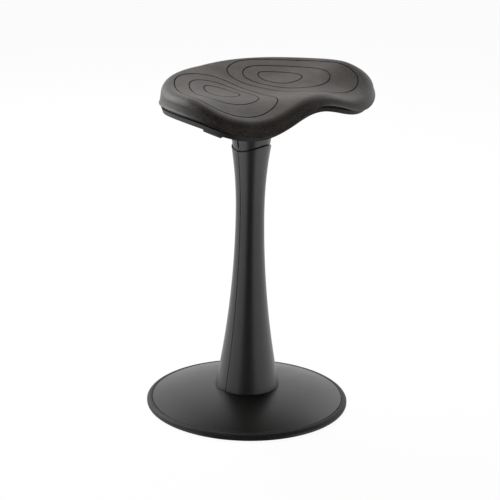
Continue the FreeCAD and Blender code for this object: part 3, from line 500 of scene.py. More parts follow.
@dataclass
class Foot(SubAssembly):
    """Round weighted foot: rubber edge ring and domed cover over the steel plates."""

    radius: float = 190.0
    undercut: float = 5.0
    band_top: float = 7.5
    ring_top: float = 13.0
    ring_width: float = 10.0
    ring_inner: float = 158.0
    crown: float = 0.8
    crest_share: float = 0.75
    groove_gap: float = 0.8
    groove_round: float = 0.5
    plate_radius: float = 176.3
    plate_bottom: float = 3.0
    plate_top: float = 9.0
    ledge_top: float = 10.2
    ledge_inner: float = 168.0
    cover_top: float = 37.5
    cover_crown: float = 4.0
    cover_wall: float = 3.0
    cover_edge: float = 1.2
    # Middle of the cover's rolled edge, in and down from its corner, as shares of the crown
    cover_roll: Point = (0.25, 0.3)
    flat_radius: float = 62.7
    hole_radius: float = 47.0
    steps: int = 180
    ring_steps: int = 8
    roll_steps: int = 4
    dome_steps: int = 40
    inner_steps: int = 24

    def rim_ring(self) -> None:
        """Make the rubber edging, with a rounded undercut and a crowned top."""
        groove = self.radius - self.ring_width + self.groove_gap / 2
        half = self.undercut * (1 - math.sqrt(0.5))
        crest = self.radius - self.ring_width * self.crest_share
        middle = ((self.radius + crest) / 2 + self.crown, (self.band_top + self.ring_top) / 2 + self.crown)
        profile = [(self.ring_inner, 0.0), (self.radius - self.undercut, 0.0)]
        profile += arc(profile[-1], (self.radius - half, half), (self.radius, self.undercut), self.ring_steps)
        profile.append((self.radius, self.band_top))
        profile += arc(profile[-1], middle, (crest, self.ring_top), self.ring_steps)
        profile += [(groove + self.groove_round, self.ring_top - self.crown / 3),
                    (groove, self.ring_top - self.crown), (groove, self.ledge_top),
                    (self.ledge_inner, self.ledge_top), (self.ledge_inner, self.plate_top),
                    (self.plate_radius, self.plate_top), (self.plate_radius, self.plate_bottom),
                    (self.ring_inner, self.plate_bottom)]
        piece = self.place(turned(profile, self.steps), "foot_edge_ring", Body.BASE, "edge_rubber")
        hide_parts("rim_ring")

    def cover(self) -> None:
        """Make the domed cover, with a softly rolled outer edge."""
        edge = self.radius - self.ring_width - self.groove_gap / 2
        outer = (edge - self.crown, self.ring_top)
        inner = (self.flat_radius, self.cover_top)
        via = ((outer[0] + inner[0]) / 2, (outer[1] + inner[1]) / 2 + self.cover_crown)
        roll_in, roll_down = self.cover_roll
        roll = (edge - roll_in * self.crown, self.ring_top - roll_down * self.crown)
        profile = [(self.ledge_inner, self.ledge_top), (edge, self.ledge_top),
                   (edge, self.ring_top - self.crown)]
        profile += arc(profile[-1], roll, outer, self.roll_steps)
        profile += arc(outer, via, inner, self.dome_steps)
        profile += [(self.hole_radius, self.cover_top), (self.hole_radius, self.cover_top - self.cover_wall),
                    (self.flat_radius, self.cover_top - self.cover_wall)]
        low = (via[0], via[1] - self.cover_wall)
        end = (self.ledge_inner - self.crown, self.ledge_top + self.cover_edge)
        profile += arc(profile[-1], low, end, self.inner_steps)
        piece = self.place(turned(profile, self.steps), "foot_cover", Body.BASE, "cover_plastic")
        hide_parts("base_cover")


@dataclass
class ColumnLine:
    """Waisted line that the column and its collar share."""

    foot_level: float = 37.5
    foot_radius: float = 60.2
    waist_level: float = 383.0
    waist_radius: float = 26.7
    mouth_level: float = 508.0
    mouth_radius: float = 36.7
    mouth_crest: float = 4.0
    mouth_arch: float = 75.0
    mouth_tilt: float = 3.6

    def radius(self, level: float) -> float:
        """Outside radius of the column at a level.

        Args:
            level: height above the floor.

        Returns:
            The radius.
        """
        end, wide = (self.foot_level, self.foot_radius) if level < self.waist_level else (
            self.mouth_level, self.mouth_radius)
        height, bulge = abs(end - self.waist_level), wide - self.waist_radius
        bend = (height ** 2 + bulge ** 2) / (2 * bulge)
        return self.waist_radius + bend - math.sqrt(bend ** 2 - (level - self.waist_level) ** 2)

    def mouth(self, x: float, y: float) -> float:
        """Level of the column's wavy mouth.

        Args:
            x: place across.
            y: place along.

        Returns:
            The height.
        """
        tilt = math.radians(self.mouth_tilt)
        rise = self.mouth_crest - self.mouth_arch + math.sqrt(self.mouth_arch ** 2 - x ** 2)
        return self.mouth_level + rise / math.cos(tilt) - y * math.tan(tilt)


@dataclass
class HalfShells(SubAssembly, ABC):
    """Thin moulded cover in two halves on the column's line, parted along a seam."""

    line: ColumnLine
    name: str
    body: Body
    slot: str
    seam: float
    edge_round: float
    steps: int
    wall: float = 2.0
    edge_angle: float = 50.0

    @abstractmethod
    def levels(self) -> list[float]:
        """Heights of the rows of a half, from the bottom up."""

    @abstractmethod
    def fit(self, turn: float, level: float) -> Place:
        """Radius, final level and least distance from the seam's plane, of a point at a turn and a level."""

    def sheet(self, half: Half) -> Mesh:
        """Sheet of half a turn with a unit radius, to be drawn out to a shell.

        Args:
            half: side of the seam.

        Returns:
            The open sheet, with its faces outwards.
        """
        bm, geometry = profile_mesh([(1.0, level) for level in self.levels()], False)
        bmesh.ops.spin(bm, geom=geometry, cent=(0, 0, 0), axis=(0, 0, 1), angle=half.value * HALF_TURN,
                       steps=self.steps, use_merge=False, use_duplicate=False)
        bmesh.ops.recalc_face_normals(bm, faces=bm.faces[:])
        face = next(iter(bm.faces))
        middle = face.calc_center_median()
        if face.normal.dot(Vector((middle.x, middle.y, 0.0))) < 0:
            bmesh.ops.reverse_faces(bm, faces=bm.faces[:])
        return bm

    def give_wall(self, piece: Piece) -> None:
        """Thicken a sheet inwards and round its edges, with live modifiers.

        Args:
            piece: sheet to thicken.
        """
        wall = piece.modifiers.new("wall", "SOLIDIFY")
        wall.thickness = self.wall * MM
        wall.offset = -1.0
        wall.use_even_offset = True
        edge = piece.modifiers.new("edge", "BEVEL")
        edge.width = self.edge_round * MM
        edge.segments = EDGE_SEGMENTS
        edge.limit_method = "ANGLE"
        edge.angle_limit = math.radians(self.edge_angle)
        edge.profile = 0.5
        piece.modifiers.new("shading", "WEIGHTED_NORMAL").keep_sharp = False

    def shell(self, half: Half) -> None:
        """Draw one half out from a sheet and give it its wall.

        Args:
            half: side of the seam.
        """
        bm = self.sheet(half)
        for vert in bm.verts:
            turn = math.atan2(vert.co.y, vert.co.x)
            reach, level, gap = self.fit(turn, vert.co.z / MM)
            along = half.value * max(abs(reach * math.sin(turn)), gap)
            vert.co = Vector((reach * math.cos(turn), along, level)) * MM
        name = f"{self.name}_{half.name.lower()}"
        piece = self.place(bm, name, self.body, self.slot, NO_CREASE)
        self.give_wall(piece)
        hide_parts(f"{name}_shell")


@dataclass
class Column(HalfShells):
    """Column cover of trumpet form, with a wavy mouth."""

    name: str = "column"
    body: Body = Body.BASE
    slot: str = "column_plastic"
    seam: float = 0.35
    edge_round: float = 0.7
    steps: int = 60
    rows: int = 72
    # Rounds of fitting a row between the foot and the mouth
    settling: int = 3

    def levels(self) -> list[float]:
        """Heights of the rows, as if the mouth were level."""
        span = self.line.mouth_level - self.line.foot_level
        return [self.line.foot_level + span * n / self.rows for n in range(self.rows + 1)]

    def fit(self, turn: float, level: float) -> Place:
        """Fit a point between the foot and the wavy mouth.

        Args:
            turn: direction from the axis, in radians.
            level: height as if the mouth were level.

        Returns:
            Radius, level and least distance from the seam's plane.
        """
        line = self.line
        share = (level - line.foot_level) / (line.mouth_level - line.foot_level)
        for _ in range(self.settling):
            reach = line.radius(level)
            top = line.mouth(reach * math.cos(turn), reach * math.sin(turn))
            level = line.foot_level + share * (top - line.foot_level)
        return line.radius(level), level, self.seam


@dataclass
class Collar(HalfShells):
    """Collar that carries the column's line up to the seat, with a slot at each seam."""

    name: str = "collar"
    body: Body = Body.SEAT
    slot: str = "collar_plastic"
    seam: float = 0.12
    edge_round: float = 0.5
    steps: int = 48
    rows: int = 12
    inset: float = 2.6
    bottom: float = 455.0
    top: float = 530.0
    slot_half: float = 1.5
    slot_bottom: float = 513.0
    slot_top: float = 524.0

    def levels(self) -> list[float]:
        """Heights of the rows, with a pair at each end of the slot."""
        spread = [self.bottom + (self.slot_bottom - self.bottom) * n / self.rows for n in range(self.rows)]
        return spread + [self.slot_bottom, self.slot_bottom + self.seam, self.slot_top - self.seam,
                         self.slot_top, self.top]

    def fit(self, turn: float, level: float) -> Place:
        """Radius, level and least distance from the seam's plane, wider in the slot."""
        gap = self.slot_half if self.slot_bottom < level < self.slot_top else self.seam
        return self.line.radius(level) - self.inset, level, gap


@dataclass
class GasSpring(SubAssembly):
    """Cylinder of the gas spring, which shows when the seat is raised."""

    radius: float = 14.0
    wall: float = 2.0
    neck: float = 8.5
    bottom: float = 35.7
    lip_top: float = 37.7
    taper_start: float = 502.0
    top: float = 545.0
    taper: float = 1.0
    valve_radius: float = 3.06
    head: float = 15.0
    edge_round: float = 0.6
    steps: int = 64

    def cylinder(self) -> None:
        """Turn the cylinder, with a lip at the bottom and a tapered, plugged top."""
        bore = self.radius - self.wall
        head = self.top - self.head
        bm = turned([
            (self.neck, self.bottom), (self.radius, self.bottom), (self.radius, self.taper_start),
            (self.radius - self.taper, self.top), (self.valve_radius, self.top), (self.valve_radius, head),
            (bore - self.taper, head), (bore - self.taper, self.taper_start),
            (bore, self.taper_start - self.wall), (bore, self.lip_top), (self.neck, self.lip_top),
        ], self.steps)
        soften(bm, self.edge_round)
        piece = self.place(bm, "gas_cylinder", Body.SEAT, "painted_steel")
        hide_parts("pressure_cylinder")


@dataclass
class LeverGrip(SubAssembly):
    """Flat moulded grip on the end of the release lever, cut off along the seat's side."""

    inner: float = 108.0
    reach: float = 148.0
    width: float = 50.0
    thickness: float = 10.0
    level: float = 566.8
    skew: float = 25.0
    turn: float = 14.0
    edge_round: float = 3.0
    edge_segments: int = 5

    def grip(self) -> None:
        """Cut a slab off at a slant and round all its edges."""
        length = self.reach + self.width - self.inner
        bm = bmesh.new()
        bmesh.ops.create_cube(bm, size=1.0)
        bmesh.ops.scale(bm, vec=Vector((length, self.width, self.thickness)) * MM, verts=bm.verts[:])
        bmesh.ops.translate(bm, vec=Vector((-self.inner - length / 2, 0, self.level)) * MM, verts=bm.verts[:])
        slant = math.radians(self.skew)
        cut = bmesh.ops.bisect_plane(bm, geom=bm.verts[:] + bm.edges[:] + bm.faces[:],
                                     plane_co=Vector((-self.reach, 0, 0)) * MM,
                                     plane_no=(-math.cos(slant), math.sin(slant), 0), clear_outer=True)
        rim = [e for e in cut["geom_cut"] if isinstance(e, bmesh.types.BMEdge)]
        bmesh.ops.contextual_create(bm, geom=rim)
        bmesh.ops.recalc_face_normals(bm, faces=bm.faces[:])
        soften(bm, self.edge_round, segments=self.edge_segments)
        bmesh.ops.rotate(bm, cent=(0, 0, 0), matrix=Matrix.Rotation(math.radians(self.turn), 3, "Z"),
                         verts=bm.verts[:])
        piece = self.place(bm, "lever_grip", Body.LEVER, "handle_plastic")
        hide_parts("lever_handle")


def smooth(share: float) -> float:
    """Soft step from 0 to 1."""
    share = max(0.0, min(1.0, share))
    return share * share * (3 - 2 * share)


def bell(distance: float, half_width: float) -> float:
    """Bell curve that is 1 in the middle."""
    return math.exp(-(distance / half_width) ** 2)


@dataclass
class SaddleForm:
    """Form of the saddle seat, by the formulas and sizes that its solid follows."""

    height: float = 615.0
    half_width: float = 216.0
    front: float = -167.5
    rear: float = 141.5
    widest: float = -70.0
    front_squareness: float = 2.57
    rear_squareness: float = 2.06
    side_rise: float = 29.1
    side_power: float = 1.54
    rear_rise: float = 24.6
    rear_length: float = 175.0
    rear_half_width: float = 235.0
    front_start: float = -35.0
    front_length: float = 130.0
    ridge_rise: float = 17.5
    ridge_half_width: float = 95.0
    thigh_drop: float = 47.0
    rim_drop: float = 4.7
    rim_rear_start: float = -20.0
    rim_rear_length: float = 160.0
    rim_rear_drop: float = 15.0
    rim_front_start: float = -60.0
    rim_ridge_rise: float = 2.4
    rim_ridge_half_width: float = 105.0
    rim_thigh_drop: float = 48.5
    rear_roll: float = 16.0
    front_roll: float = 24.0
    roll_start: float = 20.0
    roll_length: float = 140.0
    roll_share: float = 0.58
    belly_depth: float = 20.3
    belly_half_length: float = 95.0
    belly_half_width: float = 75.0

    def side(self, y: float) -> tuple[float, float]:
        """Reach and squareness of the half of the outline, front or rear, that holds y.

        Args:
            y: place along.

        Returns:
            Length of that half from the widest place, and the power of its curve.
        """
        if y < self.widest:
            return self.widest - self.front, self.front_squareness
        return self.rear - self.widest, self.rear_squareness

    def share(self, x: float, y: float) -> float:
        """How far out a point lies: 0 at the widest place's middle, 1 on the outline."""
        reach, power = self.side(y)
        return (abs(x / self.half_width) ** power + abs((y - self.widest) / reach) ** power) ** (1 / power)

    def outward(self, x: float, y: float) -> Vector:
        """Level direction that points straight out of the outline.

        Args:
            x: place across.
            y: place along.

        Returns:
            A unit vector.
        """
        reach, power = self.side(y)
        along = (y - self.widest) / reach
        slope_x = math.copysign(abs(x / self.half_width) ** (power - 1) / self.half_width, x)
        slope_y = math.copysign(abs(along) ** (power - 1) / reach, along)
        return Vector((slope_x, slope_y, 0.0)).normalized()

    def top(self, x: float, y: float) -> float:
        """Height of the pad's top before its edge rolls over.

        Args:
            x: place across.
            y: place along.

        Returns:
            The height.
        """
        side = self.side_rise * (abs(x) / self.half_width) ** self.side_power
        rear = self.rear_rise * smooth(y / self.rear_length) * bell(x, self.rear_half_width)
        front = self.ridge_rise - self.thigh_drop * (1 - bell(x, self.ridge_half_width))
        return self.height + side + rear + smooth((self.front_start - y) / self.front_length) * front

    def rim(self, x: float, y: float) -> float:
        """Height of the pad's lower edge.

        Args:
            x: place across.
            y: place along.

        Returns:
            The height.
        """
        rear = self.rim_rear_drop * smooth((y - self.rim_rear_start) / self.rim_rear_length)
        bend = (max(0.0, self.rim_front_start - y) / (self.rim_front_start - self.front)) ** 2
        front = self.rim_ridge_rise - self.rim_thigh_drop * (1 - bell(x, self.rim_ridge_half_width))
        return self.height - self.rim_drop - rear + bend * front

    def underside(self, x: float, y: float) -> float:
        """Height of the pad's underside, lowest in the middle."""
        belly = bell(x, self.belly_half_length) * bell(y, self.belly_half_width)
        return self.rim(x, y) - self.belly_depth * belly

    def roll_width(self, y: float) -> float:
        """Width of the rolled edge, which is broader round the front."""
        forward = smooth((self.roll_start - y) / self.roll_length)
        return self.rear_roll + (self.front_roll - self.rear_roll) * forward

    def rolled(self, x: float, y: float) -> float:
        """Height of the pad's top with its rolled edge.

        Args:
            x: place across.
            y: place along.

        Returns:
            The height.
        """
        top = self.top(x, y)
        share = self.share(x, y)
        distance = math.hypot(x, y - self.widest) * (1 - share) / max(share, TINY)
        inward = max(0.0, 1 - distance / self.roll_width(y))
        roll = self.roll_share * (top - self.rim(x, y))
        return top - roll * (1 - math.sqrt(max(0.0, 1 - min(1.0, inward) ** 2)))


def closed_spline(points: Sequence[Point], count: int) -> np.ndarray:
    """Smooth closed curve through points, spaced by the lengths between them.

    Args:
        points: points in order round the curve.
        count: number of samples.

    Returns:
        The samples, one a row, evenly spaced in the curve's own parameter.
    """
    knots = np.array(points, float)
    size = len(knots)
    steps = np.linalg.norm(np.roll(knots, -1, 0) - knots, axis=1)
    system = np.zeros((size, size))
    right = np.zeros((size, 2))
    for n in range(size):
        before, after = steps[n - 1], steps[n]
        system[n, n - 1] += before
        system[n, n] += 2 * (before + after)
        system[n, (n + 1) % size] += after
        right[n] = 6 * ((knots[(n + 1) % size] - knots[n]) / after - (knots[n] - knots[n - 1]) / before)
    bend = np.linalg.solve(system, right)
    ends = np.concatenate([[0.0], np.cumsum(steps)])
    samples = []
    for place in np.linspace(0.0, ends[-1], count, endpoint=False):
        n = min(int(np.searchsorted(ends, place, side="right")) - 1, size - 1)
        step, a, b = steps[n], ends[n + 1] - place, place - ends[n]
        low, high = knots[n], knots[(n + 1) % size]
        bow_low, bow_high = bend[n], bend[(n + 1) % size]
        samples.append(bow_low * a ** 3 / (6 * step) + bow_high * b ** 3 / (6 * step)
                       + (low / step - bow_low * step / 6) * a + (high / step - bow_high * step / 6) * b)
    return np.array(samples)


def shifted(line: np.ndarray, distance: float) -> np.ndarray:
    """Closed line moved outwards.

    Args:
        line: its points, one a row, anticlockwise.
        distance: how far it moves.

    Returns:
        The moved points.
    """
    along = np.roll(line, -1, 0) - np.roll(line, 1, 0)
    across = np.stack([along[:, 1], -along[:, 0]], axis=1)
    return line + distance * across / np.linalg.norm(across, axis=1, keepdims=True)


def grow_ring(bm: Mesh, ring: Ring, places: Sequence[Vector]) -> Ring:
    """Extrude a closed ring of edges and move the new ring to its places.

    Args:
        bm: mesh to change.
        ring: vertices of the ring, in order.
        places: where each new vertex goes, in metres.

    Returns:
        The new ring, in the same order.
    """
    edges = [bm.edges.get(pair) for pair in zip(ring, ring[1:] + ring[:1])]
    grown = bmesh.ops.extrude_edge_only(bm, edges=edges)["geom"]
    fresh = {item for item in grown if isinstance(item, bmesh.types.BMVert)}
    twins = []
    for vert in ring:
        twins.append(next(e.other_vert(vert) for e in vert.link_edges if e.other_vert(vert) in fresh))
    for vert, place in zip(twins, places):
        vert.co = place
    return twins


def open_ring(bm: Mesh) -> Ring:
    """Vertices of a mesh's single open border, in order round it.

    Args:
        bm: mesh with one open border.

    Returns:
        The ring of vertices.
    """
    border = [e for e in bm.edges if len(e.link_faces) == 1]
    ring = list(border[0].verts)
    allowed = set(border)
    while True:
        here, last = ring[-1], ring[-2]
        onwards = [e.other_vert(here) for e in here.link_edges if e in allowed]
        ahead = next(vert for vert in onwards if vert is not last)
        if ahead is ring[0]:
            return ring
        ring.append(ahead)


@dataclass
class SeatPad(SubAssembly):
    """Moulded foam pad: saddle form, nested contour grooves and a flared lower lip."""

    form: SaddleForm
    # Grooves of one half, as shares of the half width and of the reach from the widest place
    outer_groove: tuple[Point, ...] = ((0.3, 0.825), (0.119, 0.745), (0.065, 0.341), (0.209, -0.341),
                                       (0.518, -0.582), (0.836, -0.266), (0.846, 0.254), (0.634, 0.629))
    inner_groove: tuple[Point, ...] = ((0.319, 0.555), (0.269, 0.51), (0.239, 0.341), (0.269, 0.224),
                                       (0.348, 0.172), (0.498, 0.213), (0.498, 0.351), (0.428, 0.479))
    # Across a groove: distance from its middle, depth, and share of the painted shade that darkens it
    groove_section: tuple[Place, ...] = (
        (-2.6, 0.0, 0.0), (-1.6, -0.06, 0.0), (-1.15, 0.25, 0.4), (-0.7, 1.1, 1.0), (0.0, 1.35, 1.0),
        (0.7, 1.1, 1.0), (1.15, 0.25, 0.4), (1.6, -0.06, 0.0), (2.6, 0.0, 0.0))
    groove_count: int = 3
    groove_samples: int = 2400
    # Even rays run out from the middle of one half, none nearer to a set ray than ray_room of their spacing
    middle: Point = (105.0, -5.0)
    points: int = 288
    ray_room: float = 0.4
    halvings: int = 60
    rings_between: int = 7
    inner_shares: tuple[float, ...] = (0.15, 0.35, 0.55, 0.75, 0.9)
    # Distances from the outline of the rings on the rolled edge, and the most of a ray that they take
    roll_steps: tuple[float, ...] = (32.0, 27.0, 23.0, 19.5, 16.0, 13.0, 10.2, 7.8, 5.8, 4.1, 2.7, 1.6, 0.8,
                                     0.3, 0.0)
    roll_room: float = 0.7
    # Down the side: share of its height left, and how far it stands out
    side_section: tuple[Point, ...] = ((0.86, 0.3), (0.72, 0.6), (0.58, 0.9), (0.45, 1.2), (0.34, 1.5),
                                       (0.27, 1.75), (0.21, 2.1), (0.16, 2.5), (0.12, 2.9), (0.09, 3.1),
                                       (0.06, 3.15), (0.03, 3.0), (0.01, 2.6), (0.0, 2.0))
    lip_lift: float = 1.2
    under_shares: tuple[float, ...] = (0.985, 0.95, 0.88, 0.75, 0.55, 0.3, 0.1)
    under_middle: Point = (0.0, -20.0)

    def plan(self, shares: Point) -> Point:
        """Plan point of a groove.

        Args:
            shares: its shares of the half width and of the reach.

        Returns:
            Its place across and along.
        """
        across, along = shares
        form = self.form
        reach = form.rear - form.widest if along > 0 else form.widest - form.front
        return across * form.half_width, form.widest + along * reach

    def border(self, turn: float) -> Point:
        """Where a ray from the half's middle meets its outline or the centre line.

        Args:
            turn: direction of the ray, in radians.

        Returns:
            Its place across and along.
        """
        x0, y0 = self.middle
        dx, dy = math.cos(turn), math.sin(turn)
        low, high = 0.0, 2 * self.form.half_width
        for _ in range(self.halvings):
            reach = (low + high) / 2
            inside = self.form.share(x0 + reach * dx, y0 + reach * dy) < 1
            low, high = (reach, high) if inside else (low, reach)
        if dx < 0 and -x0 / dx < low:
            return 0.0, y0 - x0 / dx * dy
        return x0 + low * dx, y0 + low * dy

    def turns(self) -> list[float]:
        """Directions of the rays, closer together where the centre line meets the rolled edge.

        Returns:
            The directions in radians, rising, one of them exactly through each end of the centre line.
        """
        x0, y0 = self.middle
        steps = [0.0] + [step for step in self.roll_steps if step > 0]
        close = []
        for end in (self.form.rear, self.form.front):
            inwards = -math.copysign(1.0, end)
            close += [math.atan2(end + inwards * step - y0, -x0) % FULL_TURN for step in steps]
            corner = math.atan2(end - y0, -x0) % FULL_TURN
            onwards = math.copysign(1.0, corner - HALF_TURN)
            close += [corner + onwards * step / math.hypot(x0, end - y0) for step in steps[1:]]
        spacing = FULL_TURN / self.points
        even = [n * spacing for n in range(self.points)]
        even = [turn for turn in even if min(abs(turn - near) for near in close) > self.ray_room * spacing]
        return sorted(even + close)

    def contours(self, turns: Sequence[float]) -> list[np.ndarray]:
        """Plan of each groove, innermost first, sampled along the rays.

        Args:
            turns: directions of the rays through the outermost groove.

        Returns:
            One array of points for each groove.
        """
        outer, inner = [closed_spline([self.plan(p) for p in groove], self.groove_samples)
                        for groove in (self.outer_groove, self.inner_groove)]
        angles = np.unwrap(np.arctan2(outer[:, 1] - self.middle[1], outer[:, 0] - self.middle[0])) % FULL_TURN
        order = np.argsort(angles)
        made = []
        for n in reversed(range(self.groove_count)):
            share = n / (self.groove_count - 1)
            curve = (outer * (1 - share) + inner * share)[order]
            columns = [np.interp(turns, angles[order], curve[:, axis], period=FULL_TURN) for axis in (0, 1)]
            made.append(np.stack(columns, axis=1))
        return made

    def plan_rings(self) -> list[tuple[np.ndarray, float, float]]:
        """Rings of one half, from the innermost groove's middle out to the outline.

        Returns:
            For each ring its plan points, how deep it lies and its share of the painted shade in the groove.
        """
        turns = self.turns()
        contours = self.contours(turns)
        rings = []
        heart = contours[0].mean(axis=0)
        first, last = self.groove_section[0][0], self.groove_section[-1][0]
        for share in self.inner_shares:
            rings.append((heart + share * (shifted(contours[0], first) - heart), 0.0, 0.0))
        for n, line in enumerate(contours):
            for distance, depth, dark in self.groove_section:
                rings.append((shifted(line, distance), depth, dark))
            if n + 1 < len(contours):
                start, end = shifted(line, last), shifted(contours[n + 1], first)
                for k in range(1, self.rings_between + 1):
                    share = k / (self.rings_between + 1)
                    rings.append((start + share * (end - start), 0.0, 0.0))
        start = shifted(contours[-1], last)
        border = np.array([self.border(turn) for turn in turns])
        ray = start - border
        length = np.linalg.norm(ray, axis=1, keepdims=True)
        edge = border + ray / length * np.minimum(self.roll_steps[0], self.roll_room * length)
        for k in range(1, self.rings_between):
            share = k / self.rings_between
            rings.append((start + share * (edge - start), 0.0, 0.0))
        for step in self.roll_steps:
            reach = step * np.minimum(1.0, self.roll_room * length / self.roll_steps[0])
            rings.append((border + ray / length * reach, 0.0, 0.0))
        return rings

    def grow_top(self, bm: Mesh) -> Ring:
        """Grow the top of one half ring by ring, and mirror it.

        Args:
            bm: empty mesh.

        Returns:
            The open border of the whole top.
        """
        form = self.form
        # Share of painted shade in the grooves, for each vertex, which darkens the pad's colour there
        groove = bm.verts.layers.float.new("groove")
        rings = self.plan_rings()
        bmesh.ops.create_circle(bm, cap_ends=True, cap_tris=True, segments=len(rings[0][0]), radius=MM)
        heart = max(bm.verts, key=lambda v: len(v.link_edges))
        ring = [v for v in bm.verts if v is not heart]
        for number, (plan, depth, dark) in enumerate(rings):
            places = [Vector((x, y, form.rolled(x, y) - depth)) * MM for x, y in plan.tolist()]
            if number:
                ring = grow_ring(bm, ring, places)
            else:
                for vert, place in zip(ring, places):
                    vert.co = place
                centre = plan.mean(axis=0)
                heart.co = Vector((centre[0], centre[1], form.rolled(*centre))) * MM
            # Each vertex of the ring takes its share of the painted groove shade
            for vert in ring:
                vert[groove] = dark
        for vert in ring:
            if abs(vert.co.x) < TINY:
                vert.co.x = 0.0
        bmesh.ops.mirror(bm, geom=bm.verts[:] + bm.edges[:] + bm.faces[:], matrix=Matrix.Identity(4),
                         merge_dist=TINY, axis="X")
        return open_ring(bm)

    def grow_side(self, bm: Mesh, ring: Ring, edge: Sequence[Vector]) -> Ring:
        """Carry the top's border down to the lip.

        Args:
            bm: mesh to change.
            ring: the top's border.
            edge: its points.

        Returns:
            The ring at the bottom of the lip.
        """
        form = self.form
        outs = [form.outward(point.x, point.y) for point in edge]
        for share, stand in self.side_section:
            places = []
            for point, out in zip(edge, outs):
                place = point + out * stand
                rise = point.z - form.rim(point.x, point.y) - self.lip_lift
                place.z = form.rim(place.x, place.y) + self.lip_lift + share * rise
                places.append(place * MM)
            ring = grow_ring(bm, ring, places)
        return ring

    def grow_under(self, bm: Mesh, ring: Ring, edge: Sequence[Vector]) -> None:
        """Close the underside from the lip to its middle.

        Args:
            bm: mesh to change.
            ring: ring at the bottom of the lip.
            edge: points of the top's border.
        """
        form = self.form
        heart_x, heart_y = self.under_middle
        for share in self.under_shares:
            places = []
            for point in edge:
                x, y = heart_x + share * (point.x - heart_x), heart_y + share * (point.y - heart_y)
                places.append(Vector((x, y, form.underside(x, y))) * MM)
            ring = grow_ring(bm, ring, places)
        pole = Vector((heart_x, heart_y, form.underside(heart_x, heart_y))) * MM
        bmesh.ops.pointmerge(bm, verts=ring, merge_co=pole)

    def pad(self) -> None:
        """Make the pad as one closed mesh, from its top down the side and under."""
        bm = bmesh.new()
        ring = self.grow_top(bm)
        edge = [v.co / MM for v in ring]
        ring = self.grow_side(bm, ring, edge)
        self.grow_under(bm, ring, edge)
        bmesh.ops.recalc_face_normals(bm, faces=bm.faces[:])
        piece = self.place(bm, "saddle_pad", Body.SEAT, "pad_skin", NO_CREASE)
        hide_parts("seat_pad")


@dataclass
class SeatPan(SubAssembly):
    """Moulded pan under the pad, from a merged copy of its solid, with its edges shaded sharp."""

    merge: float = 0.01
    crease: float = 28.0

    def pan(self) -> None:
        """Copy, merge and dress the pan."""
        bm = bmesh.new()
        bm.from_mesh(frame["nodes"]["seat_pan"].data)
        bmesh.ops.remove_doubles(bm, verts=bm.verts[:], dist=self.merge * MM)
        piece = self.place(bm, "moulded_pan", Body.SEAT, "pan_plastic", self.crease)
        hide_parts("seat_pan")


@dataclass(frozen=True)
class Softbox:
    """Rectangular soft lamp, with its place and size in metres and its power in watts."""

    name: str
    place: Place
    size: Point
    power: float
    mirrored: bool = True

    def hang(self, target: Vector) -> None:
        """Hang the lamp in its place and aim it.

        Args:
            target: point that it is aimed at, in metres.
        """
        data = bpy.data.lights.new(self.name, "AREA")
        data.shape = "RECTANGLE"
        data.size, data.size_y = self.size
        data.energy = self.power
        lamp = bpy.data.objects.new(self.name, data)
        aim = target - Vector(self.place)
        lamp.matrix_world = Matrix.Translation(self.place) @ aim.to_track_quat("-Z", "Y").to_matrix().to_4x4()
        lamp.visible_glossy = self.mirrored
        bpy.context.scene.collection.objects.link(lamp)


@dataclass(frozen=True)
class Fade:
    """Soft step of a level from white to a dark level, between two values of what drives it."""

    white_at: float
    dark_at: float
    dark: float

    def ends(self) -> dict[str, float]:
        """Both ends of the step, by the sockets that take them."""
        return {"From Min": self.white_at, "From Max": self.dark_at, "To Min": 1.0, "To Max": self.dark}


